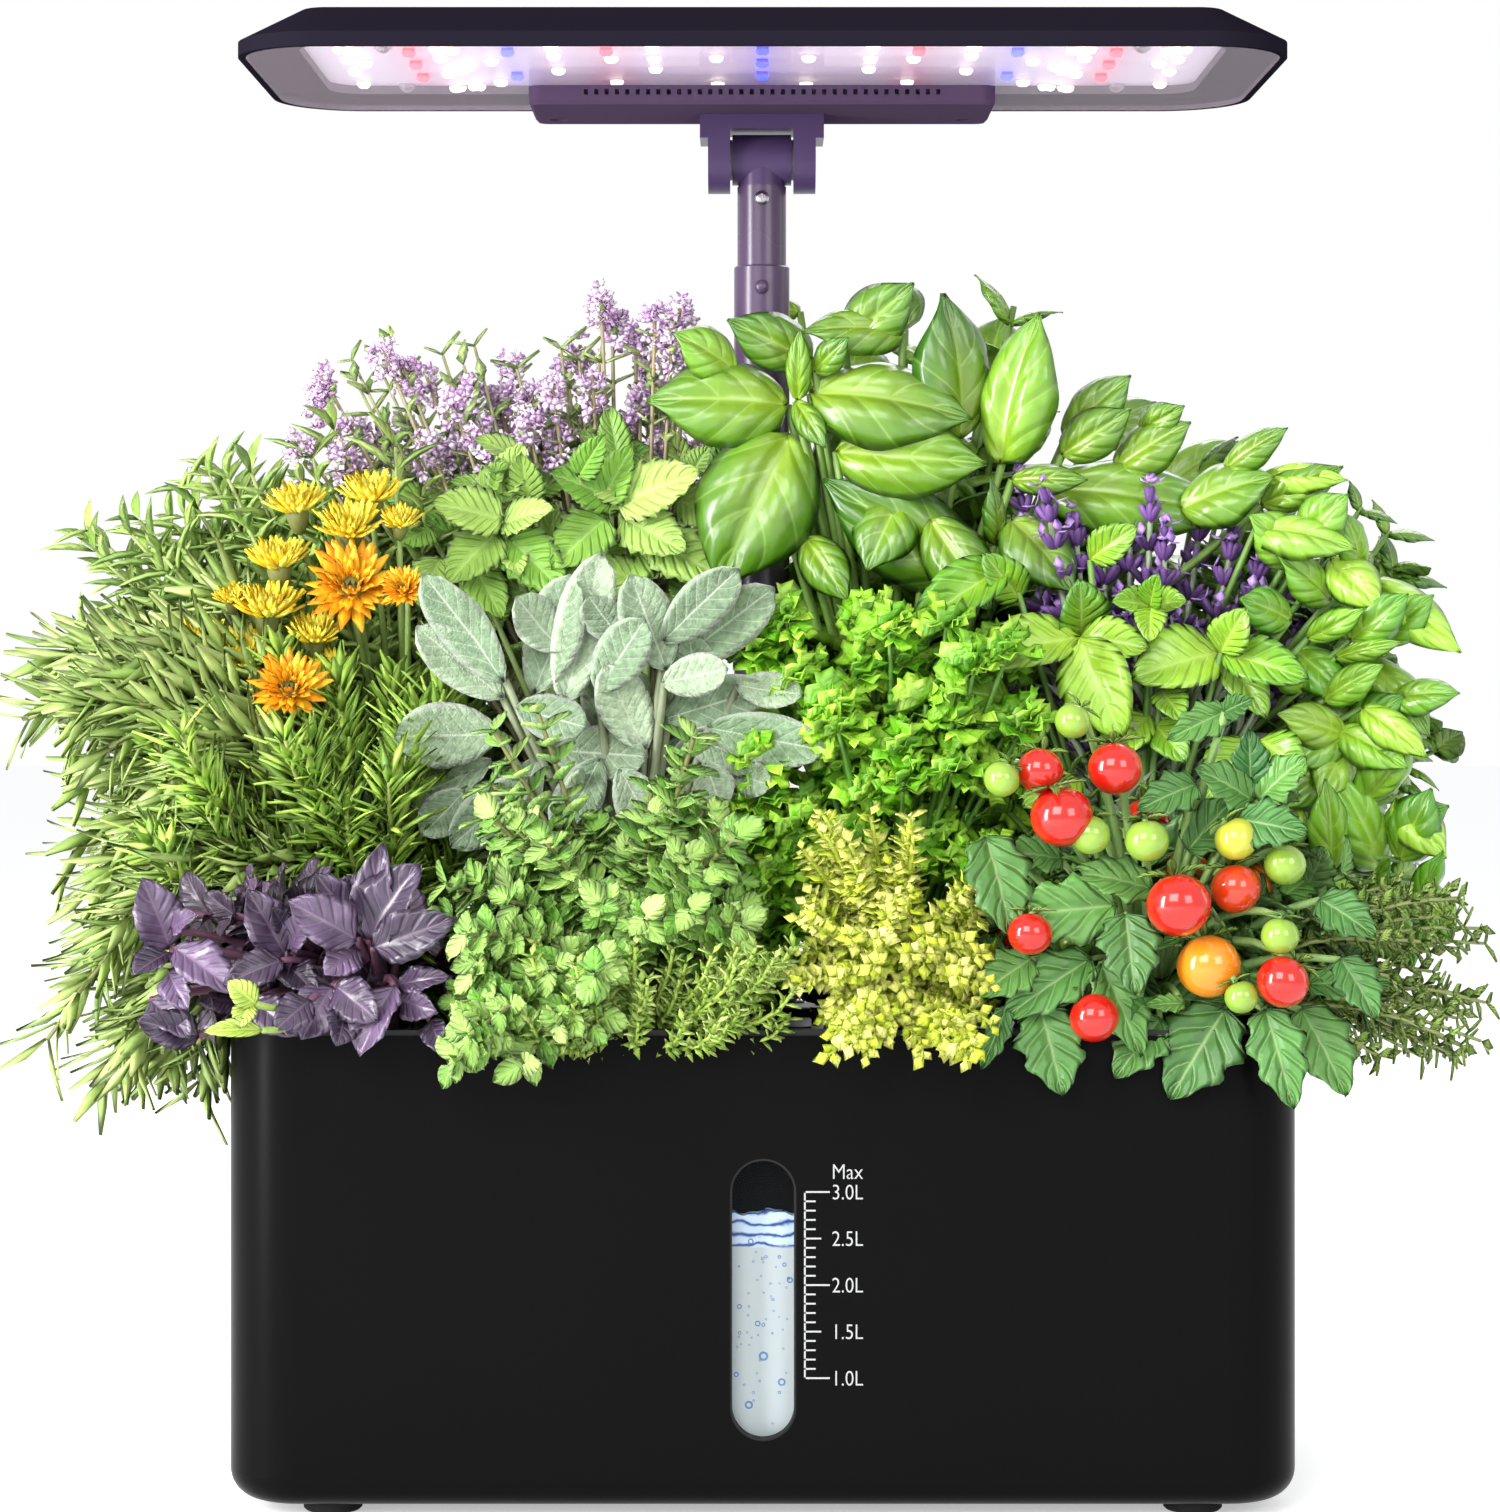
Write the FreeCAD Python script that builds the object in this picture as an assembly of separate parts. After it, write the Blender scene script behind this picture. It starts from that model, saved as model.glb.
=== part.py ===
import FreeCAD, Part
import math
import os

os.makedirs("parts", exist_ok=True)

# Countertop hydroponic garden, in millimetres.
# Origin: centre of the footprint on the worktop. +X right, +Y back, +Z up.

# Tank
TANK_LENGTH = 290.0
TANK_WIDTH = 150.0
TANK_CORNER_R = 20.0
TANK_WALL = 2.6
TANK_FLOOR = 3.0
TANK_BOTTOM_R = 8.0
TANK_BOTTOM_Z = 3.5
TANK_TOP_Z = 130.3

# Feet under the tank
FOOT_D = 16.0
FOOT_INSET_X = 28.0
FOOT_INSET_Y = 18.0
FOOT_CHAMFER = 0.6

# Water level window in the front wall
WINDOW_WIDTH = 16.6
WINDOW_HEIGHT = 74.4
WINDOW_LOW_Z = 22.5
WINDOW_RECESS = 0.2
WINDOW_FLANGE = 3.5
WINDOW_FLANGE_THICK = 1.5
GASKET_LIP = 0.6
GASKET_THICK = 1.0

# Circulation pump on the tank floor
PUMP_END_GAP = 24.4
PUMP_BACK_GAP = 22.4
PUMP_LENGTH = 40.0
PUMP_WIDTH = 32.0
PUMP_HEIGHT = 30.0
PUMP_CORNER_R = 6.0
SUCTION_CUP_D = 11.0
SUCTION_CUP_H = 3.0
SUCTION_CUP_NECK_D = 4.4
SUCTION_CUP_SPREAD_X = 13.0
SUCTION_CUP_SPREAD_Y = 9.0
IMPELLER_D = 20.0
IMPELLER_BLADE_W = 5.0
IMPELLER_BLADE_THICK = 1.2
IMPELLER_BLADES = 6
ROTOR_D = 10.0
ROTOR_LENGTH = 14.0
PUMP_SHAFT_D = 2.4
PUMP_SHAFT_SEAT = 3.0
PUMP_COVER_THICK = 3.0
PUMP_COVER_SLOT = 1.8
PUMP_COVER_SLOTS = 5
PUMP_COVER_SLOT_SPAN = 14.0
PUMP_COVER_HUB_D = 7.8
PUMP_COVER_INSET = 2.0
PUMP_COVER_BORE = 1.8
SPOUT_D = 10.0
SPOUT_BORE = 7.0
SPOUT_HEIGHT = 26.0
SPOUT_INSET = 1.0

# Grow deck that drops into the tank
DECK_RIM_THICK = 1.5
DECK_RIM_INSET = 0.5
DECK_WELL_DEPTH = 7.0
DECK_PLATE = 2.5
DECK_SKIRT_WALL = 2.2

# Pods: a net cup with its rooted plug and plant
POD_END_GAP = 15.7
POD_SIDE_GAP = 4.7
CENTRE_STRIP = 76.0
CUP_TOP_D = 30.0
CUP_BOTTOM_D = 24.0
CUP_FLANGE_D = 36.0
CUP_FLANGE_THICK = 1.6
CUP_DEPTH = 36.0
CUP_WALL = 1.3
CUP_SLOTS = 6
CUP_SLOT_WIDTH = 3.0
CUP_SLOT_MARGIN = 6.0
CUP_DRAIN_D = 7.2
STEM_D = 7.0
STEM_INTO_LEAVES = 8.0

# Fill port and its flap
PORT_D = 22.0
FLAP_BACK_ROOM = 5.6
FLAP_LENGTH = 30.0
FLAP_WIDTH = 28.0
FLAP_THICK = 2.0
FLAP_PIN_D = 2.4
FLAP_PIN_REACH = 2.0
FLAP_EAR_THICK = 2.6
FLAP_TAB = 3.0
FLAP_TAB_WIDTH = 11.2
FLAP_CORNER_R = 3.0
FLAP_BRIDGE_INSET = 3.0

# Power inlet on the deck
INLET_WIDTH = 14.0
INLET_DEPTH = 15.0
INLET_HEIGHT = 17.0
INLET_BORE = 5.7
INLET_BORE_DEPTH = 9.5
INLET_PIN_D = 2.0
INLET_GAP = 1.2
INLET_EDGE_R = 1.0
INLET_PIN_SHY = 0.5

# Telescopic pole
OUTER_TUBE_D = 16.5
OUTER_TUBE_TOP_Z = 347.3
TUBE_WALL = 0.9
TUBE_CHAMFER = 0.45
UPPER_TUBE_D = 14.5
UPPER_TUBE_LOW_Z = 197.3
UPPER_TUBE_TOP_Z = 371.0
SOCKET_D = 20.4
SOCKET_FLANGE_D = 32.0
SOCKET_FLANGE_THICK = 3.0
SOCKET_HEIGHT = 26.0
SOCKET_CHAMFER = 0.8
LEAD_HOLE_LIP = 1.0
SOCKET_SCREWS = 3
SMALL_SCREW_D = 2.4
SMALL_HEAD_D = 4.2
SMALL_HEAD_H = 1.2
RECESS_SIZE = 2.3
RECESS_DEPTH = 0.6
CLAMP_SCREW_BELOW_TOP = 6.7
BARREL_SCREW_BELOW_TOP = 4.0
DOME_H = 1.1
HEAD_SEAT = 0.6
PIN_SCREW_LENGTH = 5.0

# Tilting joint under the lamp
HINGE_Z = 379.0
BARREL_D = 15.0
BARREL_WIDTH = 17.5
BARREL_PLUG_LENGTH = 14.0
BARREL_NECK_STEP = 0.3
HINGE_BOLT_D = 5.0
HINGE_HEAD_D = 8.6
HINGE_HEAD_H = 2.6
HINGE_RECESS_SIZE = 4.3
HINGE_RECESS_DEPTH = 1.3
NUT_ACROSS_FLATS = 8.0
NUT_H = 3.0
WASHER_THICK = 0.6
WASHER_D = 12.0
YOKE_GAP = 18.8
YOKE_EAR = 6.5
YOKE_DEPTH = 20.0
YOKE_SADDLE_WIDTH = 36.6
YOKE_SADDLE_H = 7.0
YOKE_WEB_GAP = 0.7

# Control box under the rear of the lamp
BOX_FORWARD = 30.5
BOX_BEHIND = 13.0
BOX_HEIGHT = 5.5
BOX_WALL = 1.5
BOX_CORNER_R = 4.0
BOX_CHAMFER = 1.0
BOX_SCREW_INSET = 7.1
BOX_SCREW_BEHIND = 3.0
BOX_SCREW_SINK = 0.6
BOX_SCREW_D = 2.8
BOX_BOSS_D = 6.5
VENT_COUNT = 35
VENT_PITCH = 3.0
VENT_WIDTH = 1.2
VENT_HEIGHT = 1.6
BOARD_LENGTH = 108.0
BOARD_END_ROOM = 13.7
BOARD_SIDE_ROOM = 3.0
BOARD_THICK = 1.2
BOARD_RAIL_H = 0.7
BOARD_RAIL_W = 3.0

# Converter, coil and capacitors on the driver board: place along it, length, depth
DRIVER_PARTS = ((-40.0, 12.0, 9.0), (-14.0, 8.0, 8.0), (16.0, 14.0, 10.0), (42.0, 7.0, 12.0))

# Lamp head
LAMP_LENGTH = 290.0
LAMP_WIDTH = 126.0
LAMP_FORWARD = 39.5
LAMP_CORNER_R = 25.0
LAMP_BOTTOM_Z = 396.9
LAMP_BAND_H = 4.0
LAMP_TOP_H = 9.3
LAMP_TOP_INSET = 17.5
LAMP_WALL = 2.0
LENS_THICK = 1.5
LENS_REBATE = 2.0
LIGHT_END_BORDER = 17.5
LIGHT_FRONT_BORDER = 9.0
LIGHT_BACK_BORDER = 25.5
LIGHT_CORNER_R = 10.0
LED_BOARD_LAP = 2.5
LED_BOARD_THICK = 1.6
LED_SIZE = 3.2
LED_H = 1.2
PANEL_COLLAR_D = 4.8
FRAME_BOSS_H = 2.5
PANEL_SCREW_END = 40.0
PANEL_SCREW_FRONT = 24.5
PANEL_SCREW_BACK = 28.5
PANEL_BOSS_D = 7.0

# Push buttons on top of the lamp
BUTTON_D = 9.0
BUTTON_SPACING = 28.0
BUTTON_FROM_BACK = 30.5
BUTTON_EDGE_R = 0.7
BUTTON_PROUD = 1.2
BUTTON_FLANGE = 1.2
BUTTON_FLANGE_THICK = 1.0

# Space that the plants fill
FOLIAGE_HALF_X = 215.0
FOLIAGE_HALF_Y = 105.0
FOLIAGE_GAP = 0.4
POLE_CLEAR = 1.75
RIM_CLEAR = 1.5
CROWN_SHARES = (0.76, 0.97, 1.0, 0.84, 0.46)
CROWN_ROUND = 0.46
CROWN_LEAN = (0.0, 0.0, 0.0, 0.5, 1.0)
CANOPY_PAST_X = 3.0
CANOPY_PAST_Y = 7.0

# Fits
PLUG_GAP = 0.3
SLIP_GAP = 0.5
TUBE_GAP = 0.1
PIN_GAP = 0.05
SCREW_GAP = 0.1
LENS_GAP = 0.1
BUTTON_GAP = 0.15
RUN_GAP = 0.4

# How far a cutting shape runs past a face, and how far joined shapes run into each other
PAST = 1.0
JOIN = 0.5
SEAT_JOIN = 0.1

# Places and heights worked out from the sizes above
TANK_INNER_Z = TANK_BOTTOM_Z + TANK_FLOOR
DECK_TOP_Z = TANK_TOP_Z + DECK_RIM_THICK
WELL_Z = DECK_TOP_Z - DECK_WELL_DEPTH
DECK_UNDER_Z = WELL_Z - DECK_PLATE
LAMP_BAND_Z = LAMP_BOTTOM_Z + LAMP_BAND_H
LAMP_TOP_Z = LAMP_BAND_Z + LAMP_TOP_H
BOX_BOTTOM_Z = LAMP_BOTTOM_Z - BOX_HEIGHT
LED_BOARD_Z = LAMP_BAND_Z
inner_length = TANK_LENGTH - 2 * TANK_WALL
inner_width = TANK_WIDTH - 2 * TANK_WALL
skirt_length = inner_length - 2 * SLIP_GAP
skirt_width = inner_width - 2 * SLIP_GAP
well_length = skirt_length - 2 * DECK_SKIRT_WALL
well_width = skirt_width - 2 * DECK_SKIRT_WALL
PUMP_X = inner_length / 2 - PUMP_END_GAP - PUMP_LENGTH / 2
PUMP_Y = inner_width / 2 - PUMP_BACK_GAP - PUMP_WIDTH / 2
POD_OUTER_X = well_length / 2 - POD_END_GAP - CUP_FLANGE_D / 2
POD_ROW_Y = well_width / 2 - POD_SIDE_GAP - CUP_FLANGE_D / 2
INLET_BACK_Y = well_width / 2 - INLET_GAP
POLE_Y = INLET_BACK_Y - INLET_DEPTH - SLIP_GAP - SOCKET_FLANGE_D / 2
PORT_Y = POLE_Y - SOCKET_FLANGE_D / 2 - FLAP_BACK_ROOM - FLAP_PIN_D - FLAP_LENGTH / 2
BOX_LENGTH = BOARD_LENGTH + 2 * BOARD_END_ROOM
BOX_FRONT_Y = POLE_Y - BOX_FORWARD
BOX_BACK_Y = POLE_Y + BOX_BEHIND
BOX_SCREW_X = BOX_LENGTH / 2 - BOX_SCREW_INSET
BOX_SCREW_Y = POLE_Y + BOX_SCREW_BEHIND
LAMP_CENTRE_Y = POLE_Y - LAMP_FORWARD
LAMP_FRONT_Y = LAMP_CENTRE_Y - LAMP_WIDTH / 2
LAMP_BACK_Y = LAMP_CENTRE_Y + LAMP_WIDTH / 2
LIGHT_LENGTH = LAMP_LENGTH - 2 * LIGHT_END_BORDER
LIGHT_FRONT_Y = LAMP_FRONT_Y + LIGHT_FRONT_BORDER
LIGHT_BACK_Y = LAMP_BACK_Y - LIGHT_BACK_BORDER
PANEL_SCREW_X = LAMP_LENGTH / 2 - PANEL_SCREW_END
PANEL_SCREW_FRONT_Y = LAMP_FRONT_Y + PANEL_SCREW_FRONT
PANEL_SCREW_BACK_Y = LAMP_BACK_Y - PANEL_SCREW_BACK
BUTTON_Y = LAMP_BACK_Y - BUTTON_FROM_BACK

X = FreeCAD.Vector(1, 0, 0)
Y = FreeCAD.Vector(0, 1, 0)
Z = FreeCAD.Vector(0, 0, 1)


def vec(x, y, z):
    return FreeCAD.Vector(x, y, z)


def rounded_wire(length, width, radius, z, cx=0.0, cy=0.0):
    """A rectangle with round corners, in the plane at height z."""
    hx = length / 2
    hy = width / 2
    r = min(radius, 0.49 * length, 0.49 * width)
    k = r * (1 - math.sqrt(0.5))
    edges = []
    for turn in range(4):
        angle = 90 * turn
        reach = (hx, hy) if turn % 2 == 0 else (hy, hx)
        start = vec(reach[0], -reach[1] + r, 0)
        end = vec(reach[0], reach[1] - r, 0)
        middle = vec(reach[0] - k, reach[1] - k, 0)
        close = vec(reach[0] - r, reach[1], 0)
        edges.append(turned(Part.LineSegment(start, end).toShape(), angle))
        edges.append(turned(Part.Arc(end, middle, close).toShape(), angle))
    wire = Part.Wire(edges)
    wire.translate(vec(cx, cy, z))
    return wire


def turned(shape, angle):
    """A copy of the shape turned about the vertical through the origin."""
    copy = shape.copy()
    copy.rotate(vec(0, 0, 0), Z, angle)
    return copy


def slab(length, width, radius, z0, z1, cx=0.0, cy=0.0):
    """A flat plate or block with round vertical corners."""
    face = Part.Face(rounded_wire(length, width, radius, z0, cx, cy))
    return face.extrude(vec(0, 0, z1 - z0))


def block(x0, x1, y0, y1, z0, z1):
    return Part.makeBox(x1 - x0, y1 - y0, z1 - z0, vec(x0, y0, z0))


def rod(diameter, length, base, direction):
    return Part.makeCylinder(diameter / 2, length, base, direction)


def post(diameter, z0, z1, x, y):
    return rod(diameter, z1 - z0, vec(x, y, z0), Z)


def stadium(width, height, y0, y1, low_z):
    """An upright slot shape with round ends, from y0 to y1."""
    r = width / 2
    middle = block(-r, r, y0, y1, low_z + r, low_z + height - r)
    low = rod(width, y1 - y0, vec(0, y0, low_z + r), Y)
    high = rod(width, y1 - y0, vec(0, y0, low_z + height - r), Y)
    return middle.fuse([low, high]).removeSplitter()


def dome(diameter, height, centre, direction):
    """A screw head shaped as the cap of a ball, standing on its centre along the direction."""
    r = diameter / 2
    ball_r = (r * r + height * height) / (2 * height)
    ball = Part.makeSphere(ball_r, centre + direction * (height - ball_r))
    return ball.common(rod(diameter, height, centre, direction))


def cross_recess(face_centre, direction, size=RECESS_SIZE, depth=RECESS_DEPTH):
    """Two crossed bars that cut a cross slot into a screw head."""
    side = X if abs(direction.x) < 0.5 else Y
    other = direction.cross(side)
    bars = []
    for along, across in ((side, other), (other, side)):
        corner = face_centre - along * (size / 2) - across * (size / 8) - direction * depth
        edge_a = along * size
        edge_b = across * (size / 4)
        loop = [corner, corner + edge_a, corner + edge_a + edge_b, corner + edge_b, corner]
        bars.append(Part.Face(Part.makePolygon(loop)).extrude(direction * (2 * depth)))
    return bars[0].fuse(bars[1])


def save(name, solids):
    """Write one sub-part; a list becomes a group of separate solids."""
    shape = Part.makeCompound(solids) if isinstance(solids, list) else solids
    shape.exportStep("parts/" + name + ".step")


# Tank, with the window slot
inner_corner = TANK_CORNER_R - TANK_WALL
wall_in_y = -TANK_WIDTH / 2 + TANK_WALL


def bottom_edges(shape, z):
    """Every edge that lies in the plane at height z."""
    return [e for e in shape.Edges if abs(e.BoundBox.ZMax - z) < 0.001 and abs(e.BoundBox.ZMin - z) < 0.001]


tank_outside = slab(TANK_LENGTH, TANK_WIDTH, TANK_CORNER_R, TANK_BOTTOM_Z, TANK_TOP_Z)
tank_outside = tank_outside.makeFillet(TANK_BOTTOM_R, bottom_edges(tank_outside, TANK_BOTTOM_Z))
tank_inside = slab(inner_length, inner_width, inner_corner, TANK_INNER_Z, TANK_TOP_Z)
tank_inside = tank_inside.makeFillet(TANK_BOTTOM_R - TANK_WALL, bottom_edges(tank_inside, TANK_INNER_Z))
slot_width = WINDOW_WIDTH + 2 * GASKET_LIP
slot_height = WINDOW_HEIGHT + 2 * GASKET_LIP
window_slot = stadium(slot_width, slot_height, -TANK_WIDTH / 2 - PAST, wall_in_y + PAST,
                      WINDOW_LOW_Z - GASKET_LIP)
tank = tank_outside.cut(tank_inside).cut(window_slot)
save("tank", tank)

# Feet
foot_x = TANK_LENGTH / 2 - FOOT_INSET_X
foot_y = TANK_WIDTH / 2 - FOOT_INSET_Y
feet = []
for sx in (-1, 1):
    for sy in (-1, 1):
        foot = post(FOOT_D, 0, TANK_BOTTOM_Z, sx * foot_x, sy * foot_y)
        feet.append(foot.makeChamfer(FOOT_CHAMFER, bottom_edges(foot, 0)))
save("feet", feet)

# Window lens and its gasket
lens_front_y = -TANK_WIDTH / 2 + WINDOW_RECESS
gasket_in_y = wall_in_y + GASKET_THICK
flange_width = slot_width + 2 * WINDOW_FLANGE
flange_height = slot_height + 2 * WINDOW_FLANGE
flange_low = WINDOW_LOW_Z - GASKET_LIP - WINDOW_FLANGE
lens_body = stadium(WINDOW_WIDTH, WINDOW_HEIGHT, lens_front_y, gasket_in_y, WINDOW_LOW_Z)
lens_flange = stadium(flange_width, flange_height, gasket_in_y, gasket_in_y + WINDOW_FLANGE_THICK, flange_low)
save("window_lens", lens_body.fuse(lens_flange))

gasket_lip = stadium(slot_width, slot_height, lens_front_y, wall_in_y, WINDOW_LOW_Z - GASKET_LIP)
gasket_seat = stadium(flange_width, flange_height, wall_in_y, gasket_in_y, flange_low)
gasket_hole = stadium(WINDOW_WIDTH, WINDOW_HEIGHT, lens_front_y - PAST, gasket_in_y + PAST, WINDOW_LOW_Z)
save("window_gasket", gasket_lip.fuse(gasket_seat).cut(gasket_hole))

# Pump: housing with its spout, cover, impeller and suction cups
pump_low_z = TANK_INNER_Z + SUCTION_CUP_H
pump_top_z = pump_low_z + PUMP_HEIGHT
pump_front_y = PUMP_Y - PUMP_WIDTH / 2
pump_axis_z = pump_low_z + PUMP_HEIGHT / 2
chamber_depth = IMPELLER_BLADE_W + 2 * RUN_GAP
rotor_room = ROTOR_LENGTH + RUN_GAP
shaft_back_y = pump_front_y + chamber_depth + rotor_room + PUMP_SHAFT_SEAT
pump_body = slab(PUMP_LENGTH, PUMP_WIDTH, PUMP_CORNER_R, pump_low_z, pump_top_z, PUMP_X, PUMP_Y)
spout_y = pump_front_y + SPOUT_D / 2 + SPOUT_INSET
spout = post(SPOUT_D, pump_top_z - JOIN, pump_top_z + SPOUT_HEIGHT, PUMP_X, spout_y)
chamber = rod(IMPELLER_D + 2 * RUN_GAP, chamber_depth, vec(PUMP_X, pump_front_y, pump_axis_z), Y)
rotor_bore = rod(ROTOR_D + 2 * RUN_GAP, chamber_depth + rotor_room, vec(PUMP_X, pump_front_y, pump_axis_z), Y)
shaft_bore_length = chamber_depth + rotor_room + PUMP_SHAFT_SEAT + PIN_GAP
shaft_bore = rod(PUMP_SHAFT_D + 2 * PIN_GAP, shaft_bore_length, vec(PUMP_X, pump_front_y, pump_axis_z), Y)
spout_bore = post(SPOUT_BORE, pump_axis_z, pump_top_z + SPOUT_HEIGHT + PAST, PUMP_X, spout_y)
pump_housing = pump_body.fuse(spout).cut(chamber).cut(rotor_bore).cut(shaft_bore).cut(spout_bore)
save("pump_housing", pump_housing)

cover_back_y = pump_front_y
cover_front_y = pump_front_y - PUMP_COVER_THICK
cover_half_x = PUMP_LENGTH / 2 - PUMP_COVER_INSET
cover = block(PUMP_X - cover_half_x, PUMP_X + cover_half_x, cover_front_y, cover_back_y,
              pump_low_z + PUMP_COVER_INSET, pump_top_z - PUMP_COVER_INSET)
for i in range(PUMP_COVER_SLOTS):
    slot_z = pump_axis_z + (i - (PUMP_COVER_SLOTS - 1) / 2) * PUMP_COVER_SLOT_SPAN / (PUMP_COVER_SLOTS - 1)
    for side in (-1, 1):
        near = side * PUMP_COVER_HUB_D / 2
        far = side * PUMP_COVER_SLOT_SPAN / 2
        cover = cover.cut(block(PUMP_X + min(near, far), PUMP_X + max(near, far), cover_front_y - PAST,
                                cover_back_y + PAST,
                                slot_z - PUMP_COVER_SLOT / 2, slot_z + PUMP_COVER_SLOT / 2))
cover_bore = rod(PUMP_SHAFT_D + 2 * PIN_GAP, PUMP_COVER_BORE,
                 vec(PUMP_X, cover_back_y - PUMP_COVER_BORE, pump_axis_z), Y)
save("pump_cover", cover.cut(cover_bore))

shaft_front_y = cover_back_y - PUMP_COVER_BORE + PIN_GAP
impeller_shaft = rod(PUMP_SHAFT_D, shaft_back_y - shaft_front_y, vec(PUMP_X, shaft_front_y, pump_axis_z), Y)
rotor = rod(ROTOR_D, ROTOR_LENGTH, vec(PUMP_X, pump_front_y + chamber_depth - RUN_GAP, pump_axis_z), Y)
blade_y = pump_front_y + RUN_GAP
impeller_parts = [rotor]
for i in range(IMPELLER_BLADES):
    blade = block(PUMP_X, PUMP_X + IMPELLER_D / 2 - PIN_GAP, blade_y, blade_y + IMPELLER_BLADE_W,
                  pump_axis_z - IMPELLER_BLADE_THICK / 2, pump_axis_z + IMPELLER_BLADE_THICK / 2)
    blade.rotate(vec(PUMP_X, 0, pump_axis_z), Y, 360 * i / IMPELLER_BLADES)
    impeller_parts.append(blade)
impeller = impeller_shaft.fuse(impeller_parts).removeSplitter()
save("pump_impeller", impeller)

suction_cups = []
for sx in (-1, 1):
    for sy in (-1, 1):
        cup_x = PUMP_X + sx * SUCTION_CUP_SPREAD_X
        cup_y = PUMP_Y + sy * SUCTION_CUP_SPREAD_Y
        suction_cups.append(Part.makeCone(SUCTION_CUP_D / 2, SUCTION_CUP_NECK_D / 2, SUCTION_CUP_H,
                                          vec(cup_x, cup_y, TANK_INNER_Z), Z))
save("suction_cups", suction_cups)

# Pod places, as column and row centres
column_x = (-POD_OUTER_X, -CENTRE_STRIP / 2, CENTRE_STRIP / 2, POD_OUTER_X)
row_y = (POD_ROW_Y, 0.0, -POD_ROW_Y)

# Grow deck
deck_rim = slab(TANK_LENGTH - 2 * DECK_RIM_INSET, TANK_WIDTH - 2 * DECK_RIM_INSET,
                TANK_CORNER_R - DECK_RIM_INSET, TANK_TOP_Z, DECK_TOP_Z)
skirt_corner = inner_corner - SLIP_GAP
skirt = slab(skirt_length, skirt_width, skirt_corner, DECK_UNDER_Z, TANK_TOP_Z)
well = slab(well_length, well_width, skirt_corner - DECK_SKIRT_WALL, WELL_Z, DECK_TOP_Z)
deck = deck_rim.fuse(skirt).cut(well)
hole_low_z = DECK_UNDER_Z - PAST
hole_top_z = WELL_Z + PAST
holes = [post(CUP_TOP_D + 2 * SLIP_GAP, hole_low_z, hole_top_z, x, y) for x in column_x for y in row_y]
holes.append(post(PORT_D, hole_low_z, hole_top_z, 0, PORT_Y))
tube_bore_d = OUTER_TUBE_D - 2 * TUBE_WALL
holes.append(post(tube_bore_d - 2 * LEAD_HOLE_LIP, hole_low_z, hole_top_z, 0, POLE_Y))
socket_screw_r = (SOCKET_D + SOCKET_FLANGE_D) / 4
screw_places = []
for i in range(SOCKET_SCREWS):
    angle = math.radians(90) + math.pi * (2 * i + 1) / SOCKET_SCREWS
    screw_places.append((socket_screw_r * math.cos(angle), POLE_Y + socket_screw_r * math.sin(angle)))
for x, y in screw_places:
    holes.append(post(SMALL_SCREW_D + 2 * SCREW_GAP, hole_low_z, hole_top_z, x, y))
deck = deck.cut(Part.makeCompound(holes))

# The flap turns between two ears on the deck, in line with its pins
flap_back_y = PORT_Y + FLAP_LENGTH / 2
flap_axis_z = WELL_Z + FLAP_PIN_D
ear_x = FLAP_WIDTH / 2 + RUN_GAP
for side in (-1, 1):
    x0 = min(side * ear_x, side * (ear_x + FLAP_EAR_THICK))
    ear = block(x0, x0 + FLAP_EAR_THICK, flap_back_y - FLAP_PIN_D, flap_back_y + FLAP_PIN_D,
                WELL_Z - JOIN, flap_axis_z + FLAP_PIN_D)
    deck = deck.fuse(ear)
pin_bore = rod(FLAP_PIN_D + 2 * PIN_GAP, 2 * (ear_x + FLAP_EAR_THICK + PAST),
               vec(-ear_x - FLAP_EAR_THICK - PAST, flap_back_y, flap_axis_z), X)
deck = deck.cut(pin_bore)
save("grow_deck", deck.removeSplitter())

# Fill flap, moulded with its two pins and a finger tab
flap_low_z = WELL_Z
flap_plate = slab(FLAP_WIDTH, FLAP_LENGTH - FLAP_PIN_D, FLAP_CORNER_R, flap_low_z, flap_low_z + FLAP_THICK,
                  0, PORT_Y - FLAP_PIN_D / 2)
knuckle = rod(2 * FLAP_PIN_D - 2 * PIN_GAP, FLAP_WIDTH, vec(-FLAP_WIDTH / 2, flap_back_y, flap_axis_z), X)
bridge_x = FLAP_WIDTH / 2 - FLAP_BRIDGE_INSET
bridge = block(-bridge_x, bridge_x, flap_back_y - 2 * FLAP_PIN_D, flap_back_y,
               flap_low_z, flap_low_z + FLAP_THICK)
pins = rod(FLAP_PIN_D, FLAP_WIDTH + 2 * (RUN_GAP + FLAP_PIN_REACH),
           vec(-FLAP_WIDTH / 2 - RUN_GAP - FLAP_PIN_REACH, flap_back_y, flap_axis_z), X)
tab_y = PORT_Y - FLAP_LENGTH / 2
tab = block(-FLAP_TAB_WIDTH / 2, FLAP_TAB_WIDTH / 2, tab_y, tab_y + FLAP_TAB,
            flap_low_z + FLAP_THICK, flap_low_z + FLAP_THICK + FLAP_TAB)
flap_over = block(-FLAP_WIDTH, FLAP_WIDTH, PORT_Y - FLAP_LENGTH, PORT_Y + FLAP_LENGTH,
                  flap_low_z, flap_low_z + FLAP_LENGTH)
flap = flap_plate.fuse([knuckle, bridge, pins, tab]).common(flap_over)
save("fill_flap", flap.removeSplitter())

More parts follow.
